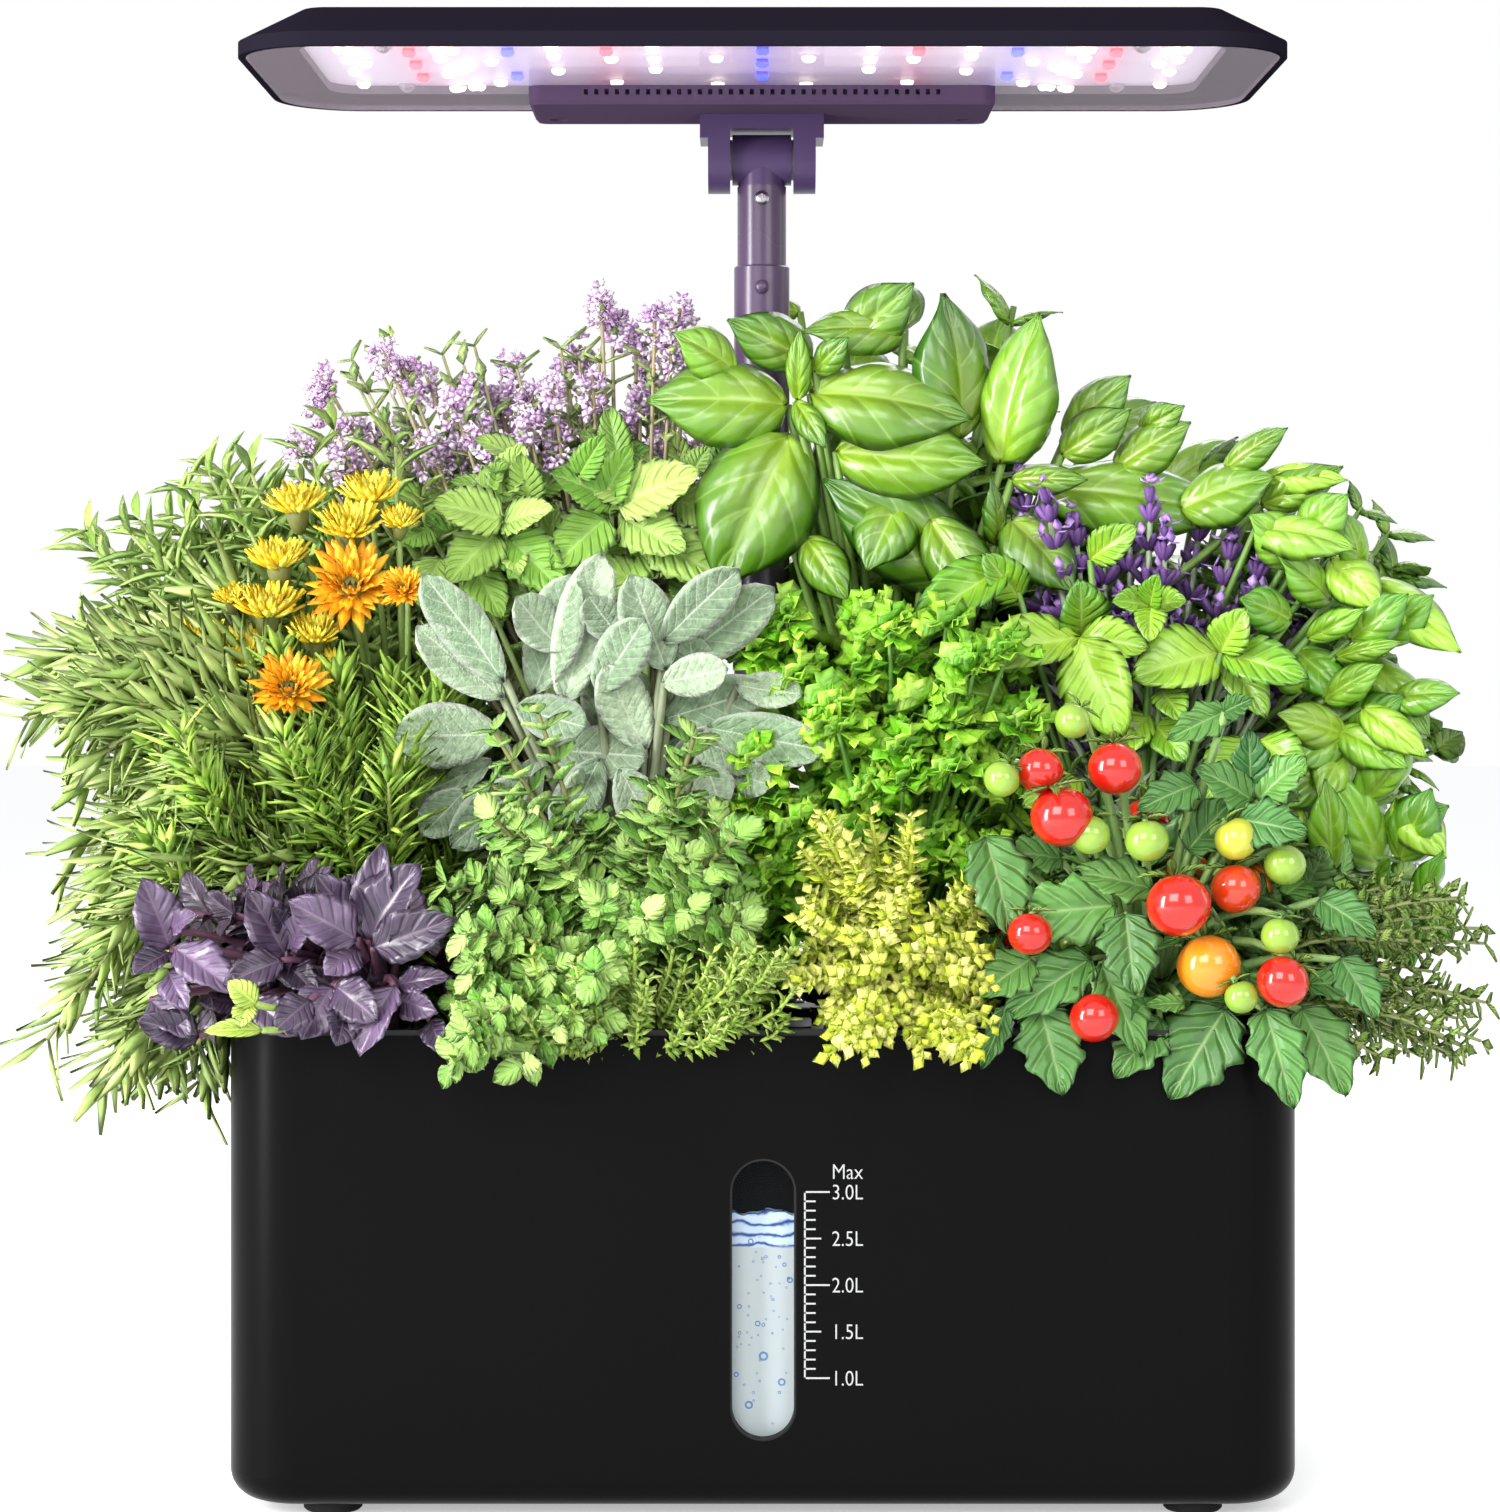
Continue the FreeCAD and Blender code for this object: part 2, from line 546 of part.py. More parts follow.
# Power inlet: a socket block on the deck behind the pole
inlet_axis_z = WELL_Z + INLET_HEIGHT - INLET_BORE
inlet = block(-INLET_WIDTH / 2, INLET_WIDTH / 2, INLET_BACK_Y - INLET_DEPTH, INLET_BACK_Y,
              WELL_Z, WELL_Z + INLET_HEIGHT)
inlet = inlet.makeFillet(INLET_EDGE_R, [e for e in inlet.Edges if e.BoundBox.ZLength > INLET_HEIGHT / 2])
bore_end_y = INLET_BACK_Y - INLET_BORE_DEPTH
inlet = inlet.cut(rod(INLET_BORE, INLET_BORE_DEPTH + PAST, vec(0, bore_end_y, inlet_axis_z), Y))
pin_length = INLET_BORE_DEPTH + JOIN - INLET_PIN_SHY
inlet_pin = rod(INLET_PIN_D, pin_length, vec(0, bore_end_y - JOIN, inlet_axis_z), Y)
save("dc_inlet", inlet.fuse(inlet_pin))

# Pole socket and its screws
socket_top_z = WELL_Z + SOCKET_HEIGHT
socket = post(SOCKET_FLANGE_D, WELL_Z, WELL_Z + SOCKET_FLANGE_THICK, 0, POLE_Y)
sleeve = post(SOCKET_D, WELL_Z, socket_top_z, 0, POLE_Y)
sleeve = sleeve.makeChamfer(SOCKET_CHAMFER, bottom_edges(sleeve, socket_top_z))
socket = socket.fuse(sleeve)
socket = socket.cut(post(OUTER_TUBE_D + 2 * PIN_GAP, WELL_Z - PAST, socket_top_z + PAST, 0, POLE_Y))
socket_screws = []
for x, y in screw_places:
    head_z = WELL_Z + SOCKET_FLANGE_THICK
    socket = socket.cut(post(SMALL_SCREW_D + 2 * SCREW_GAP, WELL_Z - PAST, head_z + PAST, x, y))
    screw = post(SMALL_SCREW_D, DECK_UNDER_Z, head_z + SEAT_JOIN, x, y)
    screw = screw.fuse(dome(SMALL_HEAD_D, SMALL_HEAD_H, vec(x, y, head_z), Z))
    screw = screw.cut(cross_recess(vec(x, y, head_z + SMALL_HEAD_H), Z))
    socket_screws.append(screw)
save("pole_socket", socket)
save("socket_screws", socket_screws)

# Outer tube with the clamp screw near its top
clamp_z = OUTER_TUBE_TOP_Z - CLAMP_SCREW_BELOW_TOP
outer_tube = post(OUTER_TUBE_D, WELL_Z, OUTER_TUBE_TOP_Z, 0, POLE_Y)
outer_tube = outer_tube.makeChamfer(TUBE_CHAMFER, bottom_edges(outer_tube, OUTER_TUBE_TOP_Z))
outer_tube = outer_tube.cut(post(tube_bore_d, WELL_Z - PAST, OUTER_TUBE_TOP_Z + PAST, 0, POLE_Y))
clamp_hole = rod(SMALL_SCREW_D + 2 * SCREW_GAP, OUTER_TUBE_D, vec(0, POLE_Y - OUTER_TUBE_D, clamp_z), Y)
outer_tube = outer_tube.cut(clamp_hole)
save("outer_tube", outer_tube)

clamp_tip_y = POLE_Y - UPPER_TUBE_D / 2 - PIN_GAP
clamp_head_y = POLE_Y - OUTER_TUBE_D / 2 + SEAT_JOIN - HEAD_SEAT
clamp_screw = rod(SMALL_SCREW_D, clamp_tip_y - clamp_head_y, vec(0, clamp_head_y, clamp_z), Y)
clamp_cap = dome(SMALL_HEAD_D, DOME_H, vec(0, clamp_head_y, clamp_z), -Y)
seat_cap = rod(SMALL_HEAD_D, HEAD_SEAT, vec(0, clamp_head_y, clamp_z), Y)
tube_outside = post(OUTER_TUBE_D, clamp_z - SMALL_HEAD_D, clamp_z + SMALL_HEAD_D, 0, POLE_Y)
save("clamp_screw", clamp_screw.fuse([clamp_cap, seat_cap.cut(tube_outside)]).removeSplitter())

# Upper tube, hinge barrel on its plug, and the screw that pins them
barrel_screw_z = UPPER_TUBE_TOP_Z - BARREL_SCREW_BELOW_TOP
upper_bore_d = UPPER_TUBE_D - 2 * TUBE_WALL
upper_tube = post(UPPER_TUBE_D, UPPER_TUBE_LOW_Z, UPPER_TUBE_TOP_Z, 0, POLE_Y)
upper_tube = upper_tube.cut(post(upper_bore_d, UPPER_TUBE_LOW_Z - PAST, UPPER_TUBE_TOP_Z + PAST, 0, POLE_Y))
pin_hole = rod(SMALL_SCREW_D + 2 * SCREW_GAP, UPPER_TUBE_D, vec(0, POLE_Y - UPPER_TUBE_D, barrel_screw_z), Y)
save("upper_tube", upper_tube.cut(pin_hole))

plug_d = upper_bore_d - 2 * TUBE_GAP
barrel = post(plug_d, UPPER_TUBE_TOP_Z - BARREL_PLUG_LENGTH, HINGE_Z, 0, POLE_Y)
neck = post(UPPER_TUBE_D - 2 * BARREL_NECK_STEP, UPPER_TUBE_TOP_Z, HINGE_Z, 0, POLE_Y)
knuckle_rod = rod(BARREL_D, BARREL_WIDTH, vec(-BARREL_WIDTH / 2, POLE_Y, HINGE_Z), X)
barrel = barrel.fuse([neck, knuckle_rod])
bolt_bore = rod(HINGE_BOLT_D + 2 * PIN_GAP, 4 * BARREL_WIDTH, vec(-2 * BARREL_WIDTH, POLE_Y, HINGE_Z), X)
barrel = barrel.cut(bolt_bore)
barrel = barrel.cut(pin_hole)
save("hinge_barrel", barrel)

barrel_head_y = POLE_Y - UPPER_TUBE_D / 2 + SEAT_JOIN - HEAD_SEAT
barrel_screw = rod(SMALL_SCREW_D, PIN_SCREW_LENGTH, vec(0, barrel_head_y, barrel_screw_z), Y)
barrel_cap = dome(SMALL_HEAD_D, DOME_H, vec(0, barrel_head_y, barrel_screw_z), -Y)
barrel_seat = rod(SMALL_HEAD_D, HEAD_SEAT, vec(0, barrel_head_y, barrel_screw_z), Y)
tube_outside = post(UPPER_TUBE_D, barrel_screw_z - SMALL_HEAD_D, barrel_screw_z + SMALL_HEAD_D, 0, POLE_Y)
barrel_screw = barrel_screw.fuse([barrel_cap, barrel_seat.cut(tube_outside)]).removeSplitter()
barrel_recess = cross_recess(vec(0, barrel_head_y - DOME_H, barrel_screw_z), -Y)
save("barrel_screw", barrel_screw.cut(barrel_recess))

# Hinge yoke under the control box, with its bolt, nut and friction washers
ear_in_x = YOKE_GAP / 2
ear_out_x = ear_in_x + YOKE_EAR
yoke_y0 = POLE_Y - YOKE_DEPTH / 2
yoke_y1 = POLE_Y + YOKE_DEPTH / 2
yoke = block(-YOKE_SADDLE_WIDTH / 2, YOKE_SADDLE_WIDTH / 2, yoke_y0, yoke_y1,
             BOX_BOTTOM_Z - YOKE_SADDLE_H, BOX_BOTTOM_Z)
for side in (-1, 1):
    x0 = min(side * ear_in_x, side * ear_out_x)
    ear = block(x0, x0 + YOKE_EAR, yoke_y0, yoke_y1, HINGE_Z, BOX_BOTTOM_Z)
    ear_end = rod(YOKE_DEPTH, YOKE_EAR, vec(x0, POLE_Y, HINGE_Z), X)
    yoke = yoke.fuse([ear, ear_end])
web_z = HINGE_Z + BARREL_D / 2 + YOKE_WEB_GAP
yoke = yoke.cut(block(-ear_in_x, ear_in_x, yoke_y0 - PAST, yoke_y1 + PAST, HINGE_Z - YOKE_DEPTH, web_z))
head_room = rod(HINGE_HEAD_D + 2 * SCREW_GAP, HINGE_HEAD_H + PAST, vec(-ear_out_x - PAST, POLE_Y, HINGE_Z), X)


def hexagon(across_flats, x0, x1):
    """A hexagonal prism along X, centred on the hinge axis."""
    corner_r = across_flats / math.sqrt(3)
    points = []
    for i in range(7):
        angle = math.radians(60 * i)
        points.append(vec(x0, POLE_Y + corner_r * math.cos(angle), HINGE_Z + corner_r * math.sin(angle)))
    return Part.Face(Part.makePolygon(points)).extrude(vec(x1 - x0, 0, 0))


nut_room = hexagon(NUT_ACROSS_FLATS + 2 * SCREW_GAP, ear_out_x - NUT_H, ear_out_x + PAST)
yoke = yoke.cut(bolt_bore).cut(head_room).cut(nut_room)
save("hinge_yoke", yoke.removeSplitter())

bolt_head_x = -ear_out_x + HINGE_HEAD_H
bolt = rod(HINGE_BOLT_D, 2 * ear_out_x - HINGE_HEAD_H, vec(bolt_head_x, POLE_Y, HINGE_Z), X)
bolt_head = rod(HINGE_HEAD_D, HINGE_HEAD_H, vec(-ear_out_x, POLE_Y, HINGE_Z), X)
bolt = bolt.fuse(bolt_head)
bolt = bolt.cut(cross_recess(vec(-ear_out_x, POLE_Y, HINGE_Z), -X, HINGE_RECESS_SIZE, HINGE_RECESS_DEPTH))
save("hinge_bolt", bolt)

nut = hexagon(NUT_ACROSS_FLATS, ear_out_x - NUT_H, ear_out_x)
nut = nut.cut(bolt_bore)
save("hinge_nut", nut)

washers = []
for x0 in (-ear_in_x, ear_in_x - WASHER_THICK):
    washer = rod(WASHER_D, WASHER_THICK, vec(x0, POLE_Y, HINGE_Z), X)
    washers.append(washer.cut(bolt_bore))
save("friction_washers", washers)

# Control box: an open tray screwed up against the lamp
box_mid_y = (BOX_FRONT_Y + BOX_BACK_Y) / 2
box_depth = BOX_BACK_Y - BOX_FRONT_Y
box = slab(BOX_LENGTH, box_depth, BOX_CORNER_R, BOX_BOTTOM_Z, LAMP_BOTTOM_Z, 0, box_mid_y)
box = box.makeChamfer(BOX_CHAMFER, bottom_edges(box, BOX_BOTTOM_Z))
box_floor_z = BOX_BOTTOM_Z + BOX_WALL
box = box.cut(slab(BOX_LENGTH - 2 * BOX_WALL, box_depth - 2 * BOX_WALL, BOX_CORNER_R - BOX_WALL,
                   box_floor_z, LAMP_BOTTOM_Z + PAST, 0, box_mid_y))
board_depth = box_depth - 2 * (BOX_WALL + BOARD_SIDE_ROOM)
board_z = box_floor_z + BOARD_RAIL_H
for rail_y in (box_mid_y - board_depth / 2, box_mid_y + board_depth / 2 - BOARD_RAIL_W):
    box = box.fuse(block(-BOARD_LENGTH / 2, BOARD_LENGTH / 2, rail_y, rail_y + BOARD_RAIL_W,
                         box_floor_z - JOIN, board_z))
for side in (-1, 1):
    box = box.fuse(post(BOX_BOSS_D, box_floor_z - JOIN, LAMP_BOTTOM_Z, side * BOX_SCREW_X, BOX_SCREW_Y))
cuts = []
box_head_z = BOX_BOTTOM_Z + SMALL_HEAD_H + BOX_SCREW_SINK
for side in (-1, 1):
    x = side * BOX_SCREW_X
    cuts.append(post(BOX_SCREW_D + 2 * SCREW_GAP, BOX_BOTTOM_Z - PAST, LAMP_BOTTOM_Z + PAST, x, BOX_SCREW_Y))
    cuts.append(post(SMALL_HEAD_D + 2 * BOX_SCREW_SINK, BOX_BOTTOM_Z - PAST, box_head_z, x, BOX_SCREW_Y))
vent_z = (box_floor_z + LAMP_BOTTOM_Z) / 2
for i in range(VENT_COUNT):
    x = (i - (VENT_COUNT - 1) / 2) * VENT_PITCH
    cuts.append(block(x - VENT_WIDTH / 2, x + VENT_WIDTH / 2,
                      BOX_FRONT_Y - PAST, BOX_FRONT_Y + BOX_WALL + PAST,
                      vent_z - VENT_HEIGHT / 2, vent_z + VENT_HEIGHT / 2))
save("control_box", box.cut(Part.makeCompound(cuts)).removeSplitter())

# Driver board with its converter, coil and capacitors
board_top_z = board_z + BOARD_THICK
driver = block(-BOARD_LENGTH / 2, BOARD_LENGTH / 2, box_mid_y - board_depth / 2, box_mid_y + board_depth / 2,
               board_z, board_top_z)
part_h = LAMP_BOTTOM_Z - board_top_z - RUN_GAP
for x, length, depth in DRIVER_PARTS:
    driver = driver.fuse(block(x - length / 2, x + length / 2, box_mid_y - depth / 2, box_mid_y + depth / 2,
                               board_top_z - SEAT_JOIN, board_top_z + part_h))
save("driver_board", driver)

# Lamp frame: the side band and the flat border round the light
lens_top_z = LAMP_BOTTOM_Z + LENS_THICK
light_width = LIGHT_BACK_Y - LIGHT_FRONT_Y
light_mid_y = (LIGHT_BACK_Y + LIGHT_FRONT_Y) / 2
rebate_length = LAMP_LENGTH - 2 * LENS_REBATE
rebate_width = LAMP_WIDTH - 2 * LENS_REBATE
rebate_corner = LAMP_CORNER_R - LENS_REBATE
frame_boss_top = LAMP_BAND_Z + FRAME_BOSS_H
frame = slab(LAMP_LENGTH, LAMP_WIDTH, LAMP_CORNER_R, LAMP_BOTTOM_Z, LAMP_BAND_Z, 0, LAMP_CENTRE_Y)
frame = frame.cut(slab(rebate_length, rebate_width, rebate_corner, LAMP_BOTTOM_Z - PAST, lens_top_z,
                       0, LAMP_CENTRE_Y))
frame = frame.cut(slab(LIGHT_LENGTH, light_width, LIGHT_CORNER_R, lens_top_z - PAST, LAMP_BAND_Z + PAST,
                       0, light_mid_y))
for side in (-1, 1):
    frame = frame.fuse(post(BOX_BOSS_D, LAMP_BAND_Z - JOIN, frame_boss_top, side * BOX_SCREW_X, BOX_SCREW_Y))
for side in (-1, 1):
    frame = frame.cut(post(BOX_SCREW_D + 2 * SCREW_GAP, lens_top_z - PAST, frame_boss_top + PAST,
                           side * BOX_SCREW_X, BOX_SCREW_Y))
save("lamp_frame", frame.removeSplitter())

# Clear lens under the lamp
lens = slab(rebate_length - 2 * LENS_GAP, rebate_width - 2 * LENS_GAP, rebate_corner - LENS_GAP,
            LAMP_BOTTOM_Z, lens_top_z, 0, LAMP_CENTRE_Y)
for side in (-1, 1):
    lens = lens.cut(post(BOX_SCREW_D + 2 * SCREW_GAP, LAMP_BOTTOM_Z - PAST, lens_top_z + PAST,
                         side * BOX_SCREW_X, BOX_SCREW_Y))
save("lamp_lens", lens)

# Screws that hold the control box and the lens to the lamp
box_screws = []
for side in (-1, 1):
    x = side * BOX_SCREW_X
    shank = post(BOX_SCREW_D, box_head_z - SEAT_JOIN, frame_boss_top - JOIN, x, BOX_SCREW_Y)
    head = dome(SMALL_HEAD_D, SMALL_HEAD_H, vec(x, BOX_SCREW_Y, box_head_z), -Z)
    recess = cross_recess(vec(x, BOX_SCREW_Y, box_head_z - SMALL_HEAD_H), -Z)
    box_screws.append(shank.fuse(head).cut(recess))
save("box_screws", box_screws)

# Light board
board_length = LIGHT_LENGTH + 2 * LED_BOARD_LAP
board_width = light_width + 2 * LED_BOARD_LAP
led_board = slab(board_length, board_width, LIGHT_CORNER_R + LED_BOARD_LAP,
                 LED_BOARD_Z, LED_BOARD_Z + LED_BOARD_THICK, 0, light_mid_y)
panel_places = [(sx * PANEL_SCREW_X, y) for sx in (-1, 1) for y in (PANEL_SCREW_FRONT_Y, PANEL_SCREW_BACK_Y)]
boss_notch = BOX_BOSS_D + 2 * SLIP_GAP
for side in (-1, 1):
    led_board = led_board.cut(post(boss_notch, LED_BOARD_Z - PAST, LED_BOARD_Z + LED_BOARD_THICK + PAST,
                                   side * BOX_SCREW_X, BOX_SCREW_Y))
for x, y in panel_places:
    led_board = led_board.cut(post(SMALL_SCREW_D + 2 * SCREW_GAP, LED_BOARD_Z - PAST,
                                   LED_BOARD_Z + LED_BOARD_THICK + PAST, x, y))
save("led_board", led_board)

# Lamps on the board, mirrored about the middle: distance from the middle, kind,
# and distances from the front edge of the light
WHITE, RED, BLUE = "white_leds", "red_leds", "blue_leds"
led_columns = (
    (117.0, WHITE, (15.5, 33.5, 56.5, 80.5)),
    (112.5, WHITE, (18.5, 41.5)),
    (98.5, RED, (22.5, 44.5, 68.5)),
    (90.5, WHITE, (15.5, 31.5, 60.5, 88.5)),
    (86.0, WHITE, (17.5, 54.5)),
    (83.5, WHITE, (47.5, 85.5)),
    (76.5, WHITE, (37.5, 77.0)),
    (71.0, BLUE, (21.5, 65.5)),
    (58.5, WHITE, (12.5, 27.5, 54.5)),
    (43.5, RED, (20.5,)),
    (42.5, WHITE, (32.5, 76.5)),
    (30.5, WHITE, (12.5, 32.5, 51.5)),
    (13.0, WHITE, (31.5, 80.5)),
    (0.0, BLUE, (18.5, 41.5, 64.5)),
)
leds = {WHITE: [], RED: [], BLUE: []}
for reach, kind, places in led_columns:
    for side in ((-1, 1) if reach > 0 else (1,)):
        for place in places:
            x = side * reach
            y = LIGHT_FRONT_Y + place
            leds[kind].append(block(x - LED_SIZE / 2, x + LED_SIZE / 2, y - LED_SIZE / 2, y + LED_SIZE / 2,
                                    LED_BOARD_Z - LED_H, LED_BOARD_Z))
for kind, solids in leds.items():
    save(kind, solids)

# Top case: a bevelled cover with posts that the board is screwed to
case_top_length = LAMP_LENGTH - 2 * LAMP_TOP_INSET
case_top_width = LAMP_WIDTH - 2 * LAMP_TOP_INSET
case_top_corner = LAMP_CORNER_R - LAMP_TOP_INSET
roof_z = LAMP_TOP_Z - LAMP_WALL
slope = LAMP_TOP_INSET / LAMP_TOP_H
roof_inset = slope * (roof_z - LAMP_BAND_Z) + LAMP_WALL
case_outside = Part.makeLoft([
    rounded_wire(LAMP_LENGTH, LAMP_WIDTH, LAMP_CORNER_R, LAMP_BAND_Z, 0, LAMP_CENTRE_Y),
    rounded_wire(case_top_length, case_top_width, case_top_corner, LAMP_TOP_Z, 0, LAMP_CENTRE_Y),
], True, True)
case_inside = Part.makeLoft([
    rounded_wire(rebate_length, rebate_width, rebate_corner, LAMP_BAND_Z, 0, LAMP_CENTRE_Y),
    rounded_wire(LAMP_LENGTH - 2 * roof_inset, LAMP_WIDTH - 2 * roof_inset, case_top_corner, roof_z,
                 0, LAMP_CENTRE_Y),
], True, True)
top_case = case_outside.cut(case_inside)
post_low_z = LED_BOARD_Z + LED_BOARD_THICK
for x, y in panel_places:
    top_case = top_case.fuse(post(PANEL_BOSS_D, post_low_z, roof_z + JOIN, x, y))
for x, y in panel_places:
    top_case = top_case.cut(post(SMALL_SCREW_D + 2 * SCREW_GAP, post_low_z - PAST, roof_z - JOIN, x, y))
button_x = BUTTON_SPACING / 2
for side in (-1, 1):
    button_hole = post(BUTTON_D + 2 * BUTTON_GAP, roof_z - PAST, LAMP_TOP_Z + PAST, side * button_x, BUTTON_Y)
    top_case = top_case.cut(button_hole)
save("lamp_top_case", top_case)

panel_screws = []
for x, y in panel_places:
    head_z = lens_top_z + SMALL_HEAD_H + SCREW_GAP
    shank = post(SMALL_SCREW_D, head_z, roof_z - 2 * JOIN, x, y)
    collar = post(PANEL_COLLAR_D, head_z, LED_BOARD_Z, x, y)
    panel_screws.append(shank.fuse([collar, dome(SMALL_HEAD_D, SMALL_HEAD_H, vec(x, y, head_z), -Z)]))
save("panel_screws", panel_screws)

# Push buttons, each kept in by a flange under the roof
for name, side in (("power_button", -1), ("mode_button", 1)):
    x = side * button_x
    button_top_z = LAMP_TOP_Z + BUTTON_PROUD
    flange_top_z = roof_z - PIN_GAP
    cap = post(BUTTON_D, flange_top_z - JOIN, button_top_z, x, BUTTON_Y)
    cap = cap.makeFillet(BUTTON_EDGE_R, bottom_edges(cap, button_top_z))
    keeper = post(BUTTON_D + 2 * BUTTON_FLANGE, flange_top_z - BUTTON_FLANGE_THICK, flange_top_z, x, BUTTON_Y)
    save(name, cap.fuse(keeper))


# Net cup: a tapered basket that hangs in the deck by its flange
def net_cup(px, py):
    low_z = WELL_Z - CUP_DEPTH
    flange = post(CUP_FLANGE_D, WELL_Z, WELL_Z + CUP_FLANGE_THICK, px, py)
    body = Part.makeCone(CUP_BOTTOM_D / 2, CUP_TOP_D / 2, CUP_DEPTH, vec(px, py, low_z), Z)
    slope_in = (CUP_TOP_D - CUP_BOTTOM_D) / 2 / CUP_DEPTH
    hollow_low_r = CUP_BOTTOM_D / 2 - CUP_WALL + slope_in * CUP_WALL
    hollow_top_r = CUP_TOP_D / 2 - CUP_WALL
    hollow = Part.makeCone(hollow_low_r, hollow_top_r, CUP_DEPTH - CUP_WALL, vec(px, py, low_z + CUP_WALL), Z)
    mouth = post(2 * hollow_top_r, WELL_Z, WELL_Z + CUP_FLANGE_THICK + PAST, px, py)
    cup = flange.fuse(body).cut(hollow).cut(mouth)
    slots = []
    for i in range(CUP_SLOTS):
        cutter = block(px + CUP_BOTTOM_D / 4, px + CUP_TOP_D,
                       py - CUP_SLOT_WIDTH / 2, py + CUP_SLOT_WIDTH / 2,
                       low_z + CUP_SLOT_MARGIN, WELL_Z - CUP_SLOT_MARGIN)
        cutter.rotate(vec(px, py, 0), Z, 360 * (i + 0.5) / CUP_SLOTS)
        slots.append(cutter)
    slots.append(post(CUP_DRAIN_D, low_z - PAST, low_z + CUP_WALL + PAST, px, py))
    return cup.cut(Part.makeCompound(slots))


# Rooted plug: the sponge that fills the cup and that the plant has rooted through
def plug(px, py):
    low_z = WELL_Z - CUP_DEPTH + CUP_WALL
    top_z = WELL_Z + CUP_FLANGE_THICK / 2
    low_r = CUP_BOTTOM_D / 2 - CUP_WALL - PLUG_GAP
    top_r = CUP_TOP_D / 2 - CUP_WALL - PLUG_GAP
    return Part.makeCone(low_r, top_r, top_z - low_z, vec(px, py, low_z), Z)


# Crown: the space that one plant's leaves fill, as stacked rounded sections
def crown(cell, heights, lean):
    x0, x1, y0, y1 = cell
    length = x1 - x0
    width = y1 - y0
    cx = (x0 + x1) / 2
    cy = (y0 + y1) / 2
    sections = []
    for z, share, way in zip(heights, CROWN_SHARES, CROWN_LEAN):
        corner = CROWN_ROUND * min(length, width) * share
        shift_x = way * lean[0] * length * (1 - share) / 2
        shift_y = way * lean[1] * width * (1 - share) / 2
        sections.append(rounded_wire(length * share, width * share, corner, z, cx + shift_x, cy + shift_y))
    return Part.makeLoft(sections, True, True)


# Canopy: the dome that the leaves of all the plants fill together, as stacked ellipses
def canopy(rows):
    round_edge = Part.makeCircle(1.0, vec(0, 0, 0), Z)
    sections = []
    for z, share_x, share_y in rows:
        stretch = FreeCAD.Matrix()
        stretch.scale(share_x * (FOLIAGE_HALF_X + CANOPY_PAST_X), share_y * (FOLIAGE_HALF_Y + CANOPY_PAST_Y), 1.0)
        stretch.move(0, 0, z)
        sections.append(Part.Wire([round_edge.transformGeometry(stretch)]))
    return Part.makeLoft(sections, True, True)


keepout = slab(TANK_LENGTH + 2 * RIM_CLEAR, TANK_WIDTH + 2 * RIM_CLEAR, TANK_CORNER_R + RIM_CLEAR,
               -PAST, DECK_TOP_Z + RIM_CLEAR)
half_gap = FOLIAGE_GAP / 2
outer_x = (CENTRE_STRIP / 2 + POD_OUTER_X) / 2
inner_row_y = POD_ROW_Y / 2
pole_x = OUTER_TUBE_D / 2 + POLE_CLEAR
cell_x = (
    (-FOLIAGE_HALF_X, -outer_x - half_gap),
    (-outer_x + half_gap, -half_gap),
    (half_gap, outer_x - half_gap),
    (outer_x + half_gap, FOLIAGE_HALF_X),
)
cell_y = (
    (inner_row_y + half_gap, FOLIAGE_HALF_Y),
    (-inner_row_y + half_gap, inner_row_y - half_gap),
    (-FOLIAGE_HALF_Y, -inner_row_y - half_gap),
)

# Each plant, row by row from the back and left to right: section heights, lean of the top
plant_rows = (
    (
        ("calendula", (124.0, 152.0, 205.0, 255.0, 288.0), (1.0, -0.4)),
        ("flowering_thyme", (154.0, 186.0, 250.0, 315.0, 345.0), (0.0, 0.0)),
        ("large_basil", (154.0, 186.0, 255.0, 318.0, 345.0), (0.0, 0.0)),
        ("bush_basil", (124.0, 155.0, 215.0, 268.0, 303.0), (-1.0, -0.4)),
    ),
    (
        ("rosemary", (112.0, 138.0, 190.0, 236.0, 262.0), (1.0, 0.0)),
        ("sage", (168.0, 182.0, 208.0, 242.0, 262.0), (0.0, 0.0)),
        ("parsley", (168.0, 182.0, 208.0, 240.0, 260.0), (0.0, 0.0)),
        ("lavender", (112.0, 142.0, 196.0, 250.0, 282.0), (-1.0, 0.0)),
    ),
    (
        ("purple_basil", (118.0, 130.0, 148.0, 172.0, 186.0), (0.6, 0.4)),
        ("oregano", (122.0, 136.0, 168.0, 206.0, 226.0), (0.0, 0.6)),
        ("golden_oregano", (120.0, 133.0, 155.0, 182.0, 198.0), (0.0, 0.4)),
        ("cherry_tomato", (114.0, 132.0, 168.0, 208.0, 228.0), (-0.8, 0.4)),
    ),
)

# The canopy's dome from its foot to its top: height, share of the half length and of the half width
leaf_dome = canopy((
    (105.0, 0.86, 0.90),
    (140.0, 0.96, 0.98),
    (180.0, 1.0, 1.0),
    (232.0, 0.97, 0.99),
    (276.0, 0.82, 0.94),
    (306.0, 0.67, 0.86),
    (332.0, 0.46, 0.74),
    (350.0, 0.28, 0.52),
))
leaves_over_rim_z = DECK_TOP_Z + RIM_CLEAR
for row, row_plants in enumerate(plant_rows):
    py = row_y[row]
    y0, y1 = cell_y[row]
    for column, (name, heights, lean) in enumerate(row_plants):
        px = column_x[column]
        x0, x1 = cell_x[column]
        # The two plants beside the pole leave room for it
        if row == 0:
            x0 = pole_x if x0 == half_gap else x0
            x1 = -pole_x if x1 == -half_gap else x1
        leaves = crown((x0, x1, y0, y1), heights, lean).common(leaf_dome).cut(keepout)
        stem = post(STEM_D, WELL_Z, max(heights[0], leaves_over_rim_z) + STEM_INTO_LEAVES, px, py)
        save(name, plug(px, py).fuse([stem, leaves]).removeSplitter())
        save(name + "_cup", net_cup(px, py))
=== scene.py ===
import math

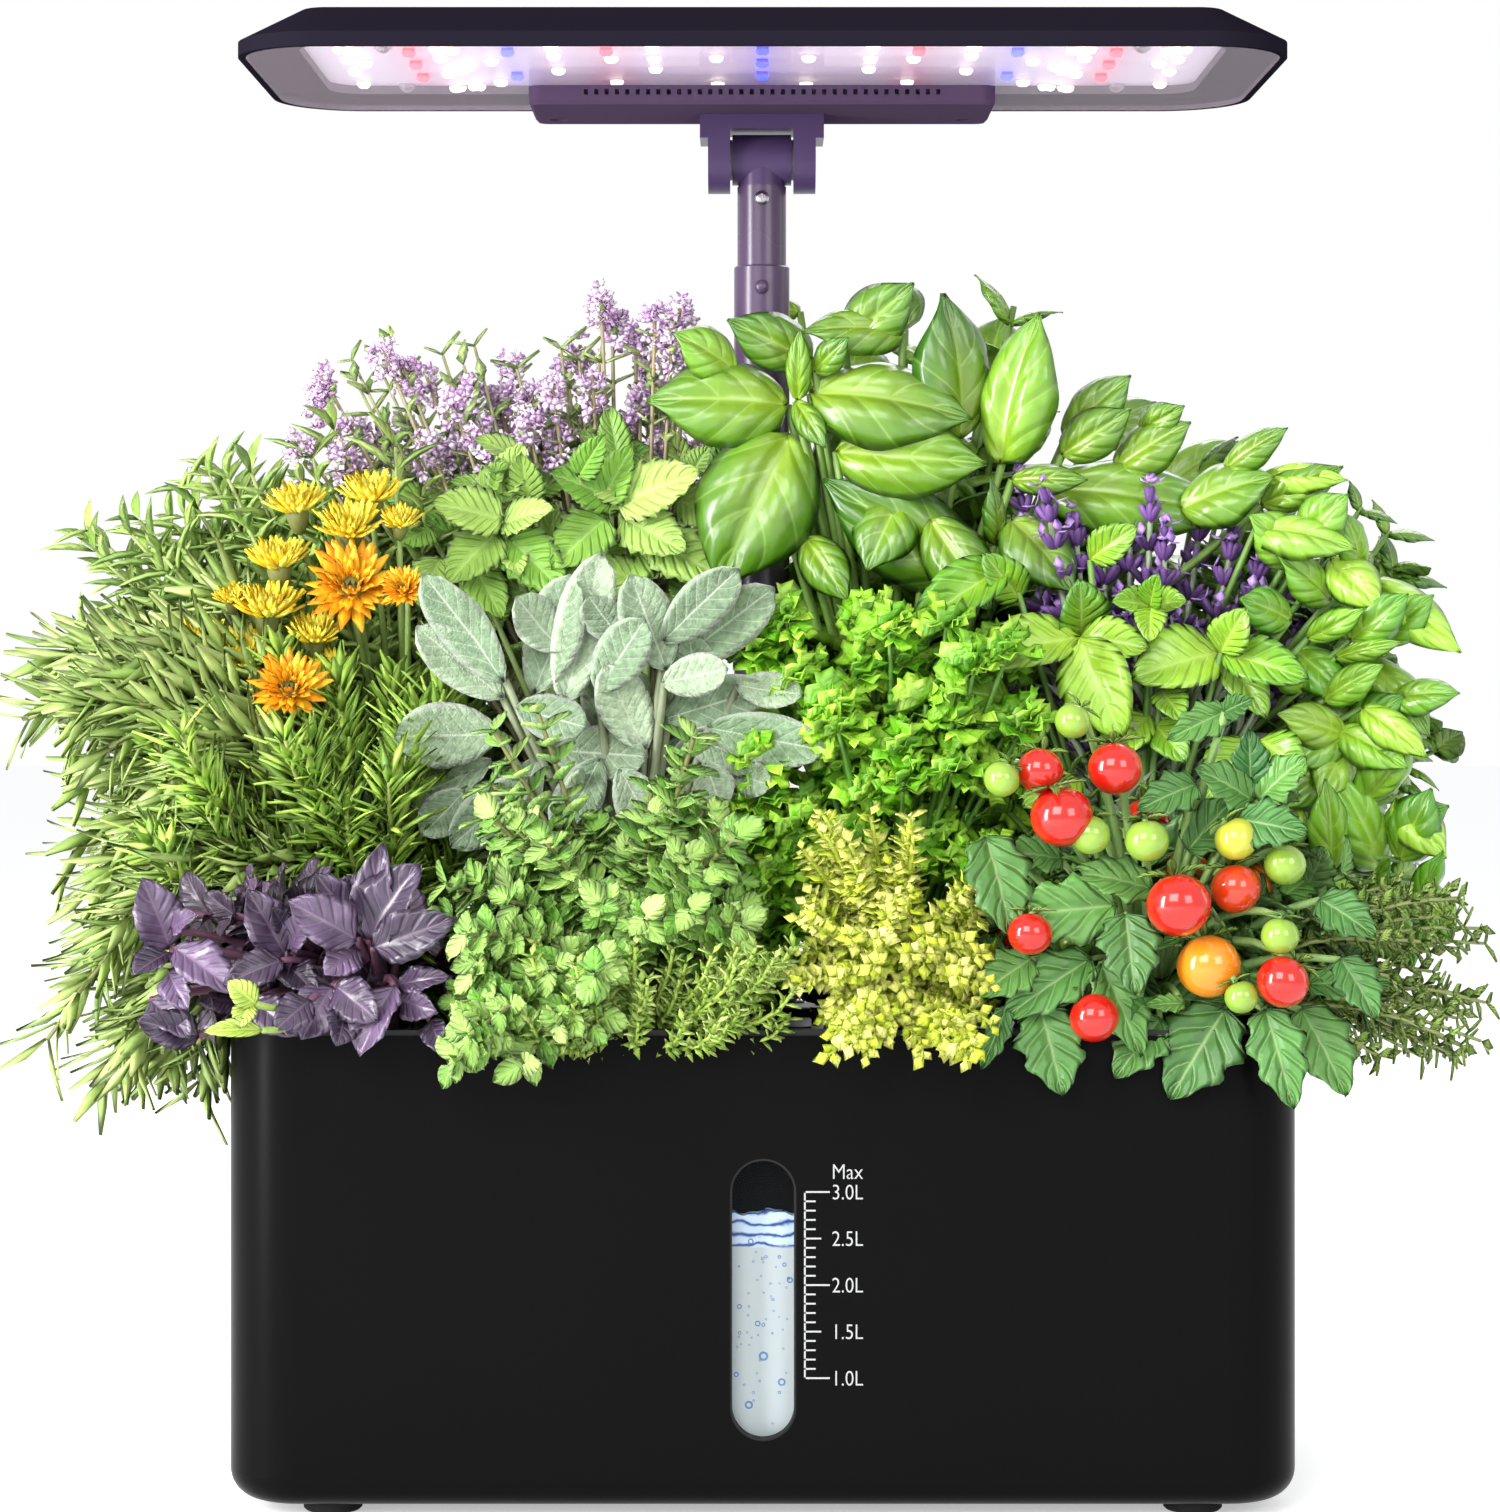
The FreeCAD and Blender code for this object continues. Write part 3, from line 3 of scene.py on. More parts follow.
import bpy
import numpy as np
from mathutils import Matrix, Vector


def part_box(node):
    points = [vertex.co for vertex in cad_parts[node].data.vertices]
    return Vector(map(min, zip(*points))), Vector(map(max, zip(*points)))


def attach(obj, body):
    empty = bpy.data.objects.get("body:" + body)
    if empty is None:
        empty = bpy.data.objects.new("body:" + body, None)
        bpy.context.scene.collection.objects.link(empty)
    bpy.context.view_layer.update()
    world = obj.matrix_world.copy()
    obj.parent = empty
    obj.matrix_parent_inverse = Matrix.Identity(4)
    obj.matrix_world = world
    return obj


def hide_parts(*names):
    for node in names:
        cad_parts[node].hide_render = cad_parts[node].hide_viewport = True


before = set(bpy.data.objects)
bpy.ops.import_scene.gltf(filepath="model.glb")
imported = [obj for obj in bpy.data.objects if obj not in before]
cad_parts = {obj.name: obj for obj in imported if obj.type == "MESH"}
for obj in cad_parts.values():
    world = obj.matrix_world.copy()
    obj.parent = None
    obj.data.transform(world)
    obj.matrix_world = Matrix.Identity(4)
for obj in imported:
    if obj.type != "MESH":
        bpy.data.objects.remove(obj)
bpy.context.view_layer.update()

# The studio: a wide pale floor under the garden, a white surround that only the camera, glass and
# mirror-like surfaces see, and soft area lamps. The camera stands level, a metre in front of the
# tank, a little above its rim.
scene = bpy.context.scene
scene.view_settings.view_transform = "Standard"


def add(tree, kind, sockets=None, **choices):
    """A new shader node in a node tree. Each entry of sockets fills an input: another node's output
    is linked to it, and anything else is its value. The choices are the node's own settings."""
    node = tree.nodes.new("ShaderNode" + kind)
    for name, value in choices.items():
        setattr(node, name, value)
    for socket, value in (sockets or {}).items():
        if isinstance(value, bpy.types.NodeSocket):
            tree.links.new(value, node.inputs[socket])
        else:
            node.inputs[socket].default_value = value
    return node


def sums(tree, kind, first, second=None):
    """The result of a Math node on one or two inputs, each a number or another node's output."""
    inputs = {0: first} if second is None else {0: first, 1: second}
    return add(tree, "Math", inputs, operation=kind).outputs[0]


def empty_finish(name):
    """A material with nothing in it yet, and its node tree."""
    made = bpy.data.materials.new(name)
    made.use_nodes = True
    made.node_tree.nodes.clear()
    return made, made.node_tree


def looked_at(tree):
    """One for rays from the camera, through glass and from mirror-like surfaces, else zero."""
    rays = add(tree, "LightPath").outputs
    either = sums(tree, "MAXIMUM", rays["Is Camera Ray"], rays["Is Transmission Ray"])
    return sums(tree, "MAXIMUM", either, rays["Is Glossy Ray"])


def new_piece(name, points, faces, finish):
    """An object at the origin whose mesh has these points and faces, in one finish."""
    data = bpy.data.meshes.new(name)
    data.from_pydata(points, [], faces)
    data.materials.append(finish)
    piece = bpy.data.objects.new(name, data)
    scene.collection.objects.link(piece)
    return piece


scene.world = bpy.data.worlds.new("studio")
scene.world.use_nodes = True
sky = scene.world.node_tree
sky.nodes.clear()
soft_sky = add(sky, "Background", {"Color": (0.97, 0.98, 1.0, 1), "Strength": 0.62})
white_sky = add(sky, "Background", {"Color": (1, 1, 1, 1), "Strength": 1.0})
sky_shown = add(sky, "MixShader", {"Fac": looked_at(sky), 1: soft_sky.outputs[0], 2: white_sky.outputs[0]})
add(sky, "OutputWorld", {"Surface": sky_shown.outputs[0]})

floor_pale, ground = empty_finish("floor_pale")
floor_shade = add(ground, "BsdfDiffuse", {"Color": (0.86, 0.86, 0.87, 1)})
floor_glow = add(ground, "Emission", {"Strength": 0.44})
floor_both = add(ground, "AddShader", {0: floor_shade.outputs[0], 1: floor_glow.outputs[0]})
floor_shown = add(ground, "MixShader", {"Fac": looked_at(ground), 1: floor_shade.outputs[0],
                                        2: floor_both.outputs[0]})
add(ground, "OutputMaterial", {"Surface": floor_shown.outputs[0]})
FLOOR_REACH = 6.0
floor_corners = [(-FLOOR_REACH, -FLOOR_REACH, 0), (FLOOR_REACH, -FLOOR_REACH, 0),
                 (FLOOR_REACH, FLOOR_REACH, 0), (-FLOOR_REACH, FLOOR_REACH, 0)]
new_piece("floor", floor_corners, [(0, 1, 2, 3)], floor_pale)

LAMPS = {   # place, height of the point it faces, width, height and power
    "key": ((-0.55, -1.45, 1.0), 0.22, 0.9, 0.9, 18),
    "fill": ((0.9, -1.4, 0.75), 0.2, 0.7, 0.8, 9),
    "back": ((0.2, 1.3, 1.3), 0.25, 1.2, 0.6, 9),
    "left_strip": ((-1.05, -0.62, 0.30), 0.2, 0.22, 1.0, 25),
    "right_strip": ((1.1, 0.25, 0.35), 0.2, 0.2, 1.0, 0.8)}
for name, (place, aim, width, height, power) in LAMPS.items():
    light = bpy.data.lights.new(name, "AREA")
    light.shape = "RECTANGLE"
    light.size = width
    light.size_y = height
    light.energy = power
    lamp = bpy.data.objects.new(name, light)
    scene.collection.objects.link(lamp)
    lamp.location = place
    lamp.rotation_euler = (Vector((0, 0, aim)) - Vector(place)).to_track_quat("-Z", "Y").to_euler()

# The photograph's frame: the lens and the level horizon come from its perspective
PHOTO_WIDTH = 1500
PHOTO_HEIGHT = 1512
FOCAL_PIXELS = 3738
HORIZON_ROW = 641
SENSOR = 36.0
CAMERA_PLACE = (-0.0035, -1.075, 0.236)
CAMERA_REACH = -CAMERA_PLACE[1]
camera_data = bpy.data.cameras.new("camera")
camera_data.sensor_width = SENSOR
camera_data.lens = SENSOR * FOCAL_PIXELS / PHOTO_HEIGHT
camera_data.shift_y = (HORIZON_ROW - PHOTO_HEIGHT / 2) / PHOTO_HEIGHT
camera = bpy.data.objects.new("camera", camera_data)
scene.collection.objects.link(camera)
camera.location = CAMERA_PLACE
camera.rotation_euler = (math.radians(90), 0, 0)
scene.camera = camera


# Tank, deck and net cups: injection-moulded black plastic. The tank's outside has a satin
# polish with a very fine grain; the deck and cups are a little duller.
def finished(tree, sockets):
    """Closes a material: one shader with these inputs, shown on the surface."""
    shader = add(tree, "BsdfPrincipled", sockets)
    add(tree, "OutputMaterial", {"Surface": shader.outputs[0]})


def blended(tree, share, first, second, kind="MIX"):
    """A colour between first and second, by share."""
    return add(tree, "Mix", {0: share, 6: first, 7: second}, data_type="RGBA", blend_type=kind).outputs[2]


def object_noise(tree, scale, detail=2.0, stretch=None):
    """A cloudy noise that stays with the piece, of so many patches to the metre."""
    place = add(tree, "TexCoord").outputs["Object"]
    if stretch:
        place = add(tree, "Mapping", {"Vector": place, "Scale": stretch}).outputs["Vector"]
    return add(tree, "TexNoise", {"Vector": place, "Scale": scale, "Detail": detail}).outputs["Fac"]


def between(tree, value, start, end, near=0.0, far=1.0, kind="LINEAR"):
    """A number that goes from start to end as value goes from near to far."""
    sockets = {"Value": value, "From Min": near, "From Max": far, "To Min": start, "To Max": end}
    return add(tree, "MapRange", sockets, interpolation_type=kind).outputs["Result"]


def dented(tree, height, strength, distance):
    """The surface's direction where it rises and falls with height."""
    return add(tree, "Bump", {"Height": height, "Strength": strength, "Distance": distance}).outputs["Normal"]


def plastic(name, colour, rough, grain=0.02, grain_size=900.0, specular=0.5, metallic=0.0):
    """Moulded plastic or plated metal: a plain colour whose tone and gloss drift a little from
    place to place, with a fine grain."""
    made, tree = empty_finish(name)
    cloud = object_noise(tree, 14.0)
    dark = (*[c * 0.9 for c in colour], 1)
    light = (*[min(1.0, c * 1.1) for c in colour], 1)
    finished(tree, {"Base Color": blended(tree, cloud, dark, light), "Specular IOR Level": specular,
                    "Roughness": between(tree, cloud, rough * 0.9, rough * 1.12), "Metallic": metallic,
                    "Normal": dented(tree, object_noise(tree, grain_size, 3.0), grain, 0.0002)})
    return made


def dress(finish, *nodes):
    """Gives nodes of the frame their finish."""
    for node in nodes:
        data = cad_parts[node].data
        data.materials.clear()
        data.materials.append(finish)


dress(plastic("case_black", (0.0032, 0.0032, 0.0032), 0.30, 0.004, 1400.0, 0.043),
      "tank", "pump_housing", "pump_cover")
deck_black = plastic("deck_black", (0.012, 0.012, 0.013), 0.5, 0.06, 900.0, 0.3)
dress(deck_black, "grow_deck", "fill_flap", "dc_inlet", "pole_socket")
dress(plastic("rubber", (0.015, 0.015, 0.015), 0.8, 0.1, 700.0, 0.2), "feet", "window_gasket", "suction_cups")
dress(plastic("impeller_white", (0.8, 0.8, 0.78), 0.4), "pump_impeller")
PLANTS = ("calendula", "flowering_thyme", "large_basil", "bush_basil", "rosemary", "sage", "parsley",
          "lavender", "purple_basil", "oregano", "golden_oregano", "cherry_tomato")
dress(deck_black, *[plant + "_cup" for plant in PLANTS])

# Pole, hinge and screws: the tubes are anodised metal in a dark violet grey, the hinge is
# moulded plastic of the same colour, and the screws are plated steel.
dress(plastic("pole_anodised", (0.070, 0.040, 0.088), 0.28, 0.004, 1600.0, 0.45),
      "outer_tube", "upper_tube", "clamp_screw")
dress(plastic("hinge_moulded", (0.068, 0.040, 0.110), 0.34, 0.01, 1200.0, 0.22), "hinge_barrel", "hinge_yoke")
dress(plastic("screw_steel", (0.42, 0.40, 0.44), 0.28, 0.02, 1200.0, 0.5, 1.0),
      "barrel_screw", "hinge_bolt", "hinge_nut", "socket_screws", "box_screws", "panel_screws")
dress(plastic("washer_nylon", (0.5, 0.5, 0.48), 0.45), "friction_washers")

# Lamp head: a matt black case and band, a smoked control box with two rubber buttons above it,
# and a clear lens over the board. The window in the tank is a clear moulding too.
dress(plastic("lamp_black", (0.012, 0.010, 0.017), 0.50, 0.003, 1500.0, 0.0), "lamp_top_case", "lamp_frame")
dress(plastic("box_smoked", (0.085, 0.055, 0.105), 0.40, 0.01, 1400.0, 0.0), "control_box")
dress(plastic("board_green", (0.02, 0.14, 0.05), 0.45), "driver_board")
dress(plastic("button_rubber", (0.03, 0.03, 0.032), 0.55, 0.05), "power_button", "mode_button")


def glassy(name, colour, alpha, rough, specular):
    """A clear moulding: thin, mostly see-through, with a gloss that drifts a little."""
    made, tree = empty_finish(name)
    gloss = between(tree, object_noise(tree, 30.0), rough * 0.7, rough * 1.3)
    finished(tree, {"Base Color": (*colour, 1), "Alpha": alpha, "Specular IOR Level": specular,
                    "Roughness": gloss})
    return made


dress(glassy("lens_clear", (0.80, 0.58, 0.78), 0.24, 0.07, 0.3), "lamp_lens")
dress(glassy("window_clear", (0.30, 0.33, 0.35), 0.01, 0.05, 0.0), "window_lens")

# Light board: a white board with tiny chips in white, red and blue. Its glow, stronger at its middle and tinted
# about the red and blue chips, is painted light from the chips.
# A drop of clear silicone over each chip spreads its light, so each shows as a bright bead.
BOARD_HALF = 0.130
PLAIN_BOARD = (1.0, 1.0, 1.0, 1)
# How far about each chip column, and in what colours, painted light from the red and blue chips tints the board.
PAINTED_GLOW_REACH = 0.010
CHIP_REACH = 0.0045
LED_LIGHT = {"white_leds": (1.0, 0.92, 0.82), "red_leds": (1.0, 0.06, 0.10), "blue_leds": (0.04, 0.07, 1.0)}
PAINTED_GLOW_TINT = {"red_leds": (1.0, 0.36, 0.44, 1), "blue_leds": (0.40, 0.40, 1.0, 1)}


def shining(name, colour, strength, edge_colour, painted_glows=()):
    """A surface that gives off light: it falls from colour at the middle of the board to edge_colour at its ends,
    unevenly, and is tinted at each of the painted_glows, which are places along X and colours.
    On the board this glow is painted light; on the chips and their domes it is the lamps' own light."""
    made, tree = empty_finish(name)
    along = add(tree, "SeparateXYZ", {0: add(tree, "TexCoord").outputs["Object"]}).outputs["X"]
    uneven = add(tree, "Math", {0: object_noise(tree, 40.0), 1: 0.3 * BOARD_HALF,
                                2: sums(tree, "ABSOLUTE", along)}, operation="MULTIPLY_ADD").outputs[0]
    fade = between(tree, uneven, 0.0, 1.0, 0.2 * BOARD_HALF, 1.2 * BOARD_HALF)
    tone = blended(tree, fade, (*colour, 1), (*edge_colour, 1))
    lit = tone
    if painted_glows:
        ramp = add(tree, "ValToRGB", {0: between(tree, along, 0.0, 1.0, -BOARD_HALF, BOARD_HALF)})
        for end in ramp.color_ramp.elements:
            end.color = PLAIN_BOARD
        for place, tint in painted_glows:
            ramp.color_ramp.elements.new((place + BOARD_HALF) / (2 * BOARD_HALF)).color = tint
        lit = blended(tree, 1.0, tone, ramp.outputs[0], "MULTIPLY")
    finished(tree, {"Base Color": tone, "Emission Color": lit, "Emission Strength": strength,
                    "Roughness": 0.4})
    return made


def mesh_points(data):
    """A mesh's points as an array of rows."""
    points = np.empty(len(data.vertices) * 3)
    data.vertices.foreach_get("co", points)
    return points.reshape(-1, 3)


def chip_places(node):
    """The middle of each chip of a node: points nearer than CHIP_REACH share their mean."""
    points = mesh_points(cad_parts[node].data)
    near = np.linalg.norm(points[:, None, :2] - points[None, :, :2], axis=-1) < CHIP_REACH
    means = (near[..., None] * points[None]).sum(1) / near.sum(1)[:, None]
    return np.unique(np.round(means, 4), axis=0)


# Painted light: the board's glow turns red or blue in a band about each column of those chips.
painted_glows = []
for node, tint in PAINTED_GLOW_TINT.items():
    chips = chip_places(node)[:, 0]
    columns = np.round(chips / (2.5 * PAINTED_GLOW_REACH))
    for column in np.unique(columns):
        middle = chips[columns == column].mean()
        painted_glows += [(middle - PAINTED_GLOW_REACH, PLAIN_BOARD), (middle, tint), (middle + PAINTED_GLOW_REACH, PLAIN_BOARD)]
# The board gives off a lilac glow of its own, brighter at its middle: painted light from the chips.
dress(shining("board_painted_glow", (0.78, 0.70, 0.86), 0.40, (0.66, 0.62, 0.72), painted_glows), "led_board")
DOME_RADIUS = 0.0015
DOME_SINK = 0.0003
DOME_SIDES = 12
DOME_RINGS = 5
dome_turn = np.arange(DOME_SIDES) * 2 * np.pi / DOME_SIDES
dome_climb = np.linspace(0, 0.47 * np.pi, DOME_RINGS)[:, None]


def dome_mesh(places, low_z):
    """Closed half balls that hang from the chips: rings whose radius and drop follow a quarter
    circle, closed by a flat face at the top and a small one at the bottom."""
    ring = np.stack([np.cos(dome_climb) * np.cos(dome_turn), np.cos(dome_climb) * np.sin(dome_turn),
                     np.broadcast_to(-np.sin(dome_climb), (DOME_RINGS, DOME_SIDES))], -1)
    base = np.column_stack([places[:, :2], np.full(len(places), low_z)])
    points = base[:, None] + DOME_RADIUS * ring.reshape(1, -1, 3)
    grid = np.arange(DOME_RINGS * DOME_SIDES).reshape(DOME_RINGS, DOME_SIDES)
    ahead = np.roll(grid, -1, axis=1)
    wall = np.stack([grid[:-1], grid[1:], ahead[1:], ahead[:-1]], -1).reshape(-1, 4)
    faces = []
    for start in np.arange(len(base)) * grid.size:
        faces += (wall + start).tolist()
        faces += [(grid[0] + start).tolist(), (grid[-1, ::-1] + start).tolist()]
    return points.reshape(-1, 3), faces


for node, light in LED_LIGHT.items():
    chip = tuple(0.55 * part for part in light)
    dress(shining(node + "_lit", chip, 0.75, chip), node)
    beads = dome_mesh(chip_places(node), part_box(node)[0][2] + DOME_SINK)
    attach(new_piece(node + "_domes", *beads, shining(node + "_domes", light, 3.0, light)), "lamp")

# Water: the tank is filled to 2.8 litres, and the window shows its ruffled surface, with dark blue streaks below it.
# Only the slice behind the window is modelled. It gives off a little light in its own colour: painted light, so that
# it shows pale inside the dark tank.
WATER_TOP = 0.0822
WATER_GAP = 0.0002
WATER_DEPTH = 0.004
WATER_CLEAR = 0.0005
RUFFLE = 0.0006
STREAKS_LOW = 0.0096
STREAKS_FULL = 0.0088
lens_low, lens_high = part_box("window_lens")
window_half = (lens_high[0] - lens_low[0]) / 2
window_middle = (lens_high[0] + lens_low[0]) / 2
across, up = np.meshgrid(np.linspace(-1, 1, 41), np.linspace(0, 1, 9), indexing="ij")
surface = WATER_TOP + RUFFLE * (np.sin(5.5 * across + 0.6) + 0.4 * np.sin(17 * across))
water_x = window_middle + across * window_half * 0.98
water_z = lens_low[2] + WATER_CLEAR + (surface - lens_low[2] - WATER_CLEAR) * up
front_y = lens_high[1] + WATER_GAP
sheet = np.stack([water_x, np.full_like(water_x, front_y), water_z], -1).reshape(-1, 3)
grid = np.arange(across.size).reshape(across.shape)
front_faces = np.stack([grid[:-1, :-1], grid[1:, :-1], grid[1:, 1:], grid[:-1, 1:]], -1).reshape(-1, 4)
rim = np.concatenate([grid[:, 0], grid[-1, 1:], grid[-2::-1, -1], grid[0, -2:0:-1]])
rim_faces = np.stack([rim, rim + across.size, np.roll(rim, -1) + across.size, np.roll(rim, -1)], -1)
water_painted_glow, water = empty_finish("water_painted_glow")
water_place = add(water, "TexCoord").outputs["Object"]
water_height = add(water, "SeparateXYZ", {0: water_place}).outputs["Z"]
ripple = add(water, "TexWave", {"Vector": water_place, "Scale": 105.0, "Distortion": 4.5, "Detail": 2.5,
                                "Detail Scale": 1.6}, wave_type="BANDS", bands_direction="Z")
streaks = add(water, "ValToRGB", {0: ripple.outputs["Fac"]})
pale_end, dark_end = streaks.color_ramp.elements
pale_end.position = 0.50
pale_end.color = (0.42, 0.53, 0.66, 1)
dark_end.position = 0.97
dark_end.color = (0.010, 0.030, 0.16, 1)
streaks.color_ramp.elements.new(0.80).color = (0.22, 0.36, 0.58, 1)
near_top = between(water, water_height, 0.0, 1.0, WATER_TOP - STREAKS_LOW, WATER_TOP - STREAKS_FULL)
water_tone = blended(water, near_top, (0.36, 0.41, 0.42, 1), streaks.outputs[0])
# Painted light: the water glows with its own colour.
finished(water, {"Base Color": water_tone, "Emission Color": water_tone, "Emission Strength": 0.14,
                 "Roughness": 0.25})
water_points = np.concatenate([sheet, sheet + (0, WATER_DEPTH, 0)])
water_faces = np.concatenate([front_faces, front_faces[:, ::-1] + across.size, rim_faces])
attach(new_piece("tank_water", water_points, water_faces, water_painted_glow), "tank")

# Air bubbles that the pump stirs into the water: small closed rings, blue where their edge bends
# the light, scattered down the window.
BUBBLES = 64
RING_STEPS = 14
TUBE_STEPS = 6
TUBE_SHARE = 0.28
bubble_draw = np.random.default_rng(5)
bubble_x = window_middle + bubble_draw.uniform(-0.0072, 0.0072, BUBBLES)
bubble_z = lens_low[2] + 0.007 + (WATER_TOP - lens_low[2] - 0.013) * bubble_draw.random(BUBBLES) ** 0.8
bubble_r = 0.00022 + 0.0008 * bubble_draw.random(BUBBLES) ** 5
ring_turn = np.arange(RING_STEPS)[:, None] * 2 * np.pi / RING_STEPS
tube_turn = np.arange(TUBE_STEPS) * 2 * np.pi / TUBE_STEPS
tube_out = 1 + TUBE_SHARE * np.cos(tube_turn)
ring_shape = np.stack([np.cos(ring_turn) * tube_out,
                       np.broadcast_to(TUBE_SHARE * np.sin(tube_turn), (RING_STEPS, TUBE_STEPS)),
                       np.sin(ring_turn) * tube_out], -1)
centres = np.stack([bubble_x, np.full(BUBBLES, front_y), bubble_z], -1)
bubble_points = centres[:, None] + bubble_r[:, None, None] * ring_shape.reshape(1, -1, 3)
ring_grid = np.arange(RING_STEPS * TUBE_STEPS).reshape(RING_STEPS, TUBE_STEPS)
ring_next = np.roll(ring_grid, -1, axis=0)
ring_faces = np.stack([ring_grid, np.roll(ring_grid, -1, axis=1), np.roll(ring_next, -1, axis=1), ring_next],
                      -1).reshape(-1, 4)
bubble_faces = (ring_faces[None] + (np.arange(BUBBLES) * ring_grid.size)[:, None, None]).reshape(-1, 4)
bubble_blue = plastic("bubble_blue", (0.08, 0.20, 0.42), 0.2)
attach(new_piece("air_bubbles", bubble_points.reshape(-1, 3), bubble_faces, bubble_blue), "tank")

# Level scale: printed in thin pale grey ink beside the window, from 1.0 to 3.0 litres, with a
# long line at each litre, a middle one at each half and a short one at each tenth.
LITRE_LOW_Z = 0.0388
LITRE_STEP = 0.0249
SCALE_X = 0.01095
INK_THICK = 0.00006
INK_SINK = 0.00001
BAR_WIDTH = 0.00045
LONG_TICK = 0.0069
MIDDLE_TICK = 0.0046
SHORT_TICK = 0.0031
tank_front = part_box("tank")[0][1]
tenths = np.arange(21)
tick_z = LITRE_LOW_Z + tenths * LITRE_STEP / 10
tick_length = np.where(tenths % 10 == 0, LONG_TICK, np.where(tenths % 5 == 0, MIDDLE_TICK, SHORT_TICK))
low_x = np.full(22, SCALE_X)
high_x = np.append(SCALE_X + tick_length, SCALE_X + BAR_WIDTH)
low_z = np.append(tick_z, LITRE_LOW_Z) - BAR_WIDTH / 2
high_z = np.append(tick_z, LITRE_LOW_Z + 2 * LITRE_STEP) + BAR_WIDTH / 2
corner = np.array([(i, j, k) for i in (0, 1) for j in (0, 1) for k in (0, 1)])
bar_y = tank_front - INK_THICK * (1 - corner[None, :, 1]) + INK_SINK
bar_points = np.stack([np.where(corner[None, :, 0], high_x[:, None], low_x[:, None]),
                       np.broadcast_to(bar_y, (22, 8)),
                       np.where(corner[None, :, 2], high_z[:, None], low_z[:, None])], -1)
bar_quads = np.array(((0, 1, 3, 2), (4, 6, 7, 5), (0, 4, 5, 1), (2, 3, 7, 6), (0, 2, 6, 4), (1, 5, 7, 3)))
bar_faces = (bar_quads[None] + (np.arange(22) * 8)[:, None, None]).reshape(-1, 4)
ink = plastic("scale_ink", (0.44, 0.44, 0.44), 0.5)
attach(new_piece("level_marks", bar_points.reshape(-1, 3), bar_faces, ink), "tank")
LABELS = (("1.0L", 0.0), ("1.5L", 0.5), ("2.0L", 1.0), ("2.5L", 1.5), ("3.0L", 2.0), ("Max", 2.22))
LABEL_X = 0.0183
LABEL_HIGH = 0.0040
LABEL_NARROW = 0.86
CAPITAL_SHARE = 0.69
INK_SHRINK = -0.00005
label_points = []
label_faces = []
start = 0
for words, litre in LABELS:
    line = bpy.data.curves.new("label", "FONT")
    line.body = words
    line.size = LABEL_HIGH / CAPITAL_SHARE
    line.extrude = INK_THICK / 2
    line.offset = INK_SHRINK
    line.resolution_u = 4
    typed = bpy.data.objects.new("label", line)
    scene.collection.objects.link(typed)
    bpy.context.view_layer.update()
    flat = bpy.data.meshes.new_from_object(typed)
    place = mesh_points(flat)
    x = LABEL_X + place[:, 0] * LABEL_NARROW
    y = tank_front - INK_THICK / 2 - place[:, 2]
    z = LITRE_LOW_Z + litre * LITRE_STEP + place[:, 1] - LABEL_HIGH / 2
    label_points.append(np.stack([x, y, z], -1))
    label_faces += [[v + start for v in face.vertices] for face in flat.polygons]
    start += len(place)
    bpy.data.objects.remove(typed)
    bpy.data.meshes.remove(flat)
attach(new_piece("level_numbers", np.concatenate(label_points), label_faces, ink), "tank")


# Rosemary: woody shoots that arch out of the pod in the middle row, left, set all round with
# short stiff needles. The longest shoots reach past the end of the tank and hang over its side.
def mm(*values):
    """Millimetres as metres."""
    return np.array(values, float) / 1000


def unit(vectors):
    """Each vector divided by its own length."""
    return vectors / np.maximum(np.linalg.norm(vectors, axis=-1, keepdims=True), 1e-9)


def seen(column, row, depth):
    """The points, in metres, that lie at a depth behind the tank's middle and show at a column and
    row of the photograph: similar triangles from the camera."""
    column, row, depth = np.broadcast_arrays(np.asarray(column, float), np.asarray(row, float),
                                             np.asarray(depth, float))
    reach = (depth + CAMERA_REACH) / FOCAL_PIXELS
    return np.stack([CAMERA_PLACE[0] + (column - PHOTO_WIDTH / 2) * reach, depth,
                     CAMERA_PLACE[2] + (HORIZON_ROW - row) * reach], -1)


def spread(draw, count, middle, radii, inner, lowest):
    """Points in a rounded cloud, its middle and radii in millimetres: random directions above
    lowest, at inner to 1 of the radii."""
    way = unit(draw.normal(0, 1, (count * 3, 3)))
    way = way[way[:, 2] > lowest][:count]
    reach = inner + (1 - inner) * draw.random((len(way), 1))
    return mm(*middle) + way * mm(*radii) * reach


def tips_in(draw, windows, *clouds):
    """Places for shoot tips: first evenly drawn in windows of the photograph, each a count, its
    columns, rows and depths, and then in rounded clouds, each a row for spread."""
    points = [seen(draw.uniform(*columns, count), draw.uniform(*rows, count), draw.uniform(*depths, count))
              for count, columns, rows, depths in windows]
    return np.concatenate(points + [spread(draw, *cloud) for cloud in clouds])


def spokes(axis, hint, angle):
    """Directions square to each axis, at angles round it from the one that is square to hint."""
    side = unit(np.cross(axis, hint))
    other = np.cross(axis, side)
    return np.cos(angle)[..., None] * side[..., None, :] + np.sin(angle)[..., None] * other[..., None, :]


def leaned(out, axis, lean):
    """Directions that lean from the axis towards out, and the faces that look back at the axis."""
    return np.sin(lean) * out + np.cos(lean) * axis, np.sin(lean) * axis - np.cos(lean) * out


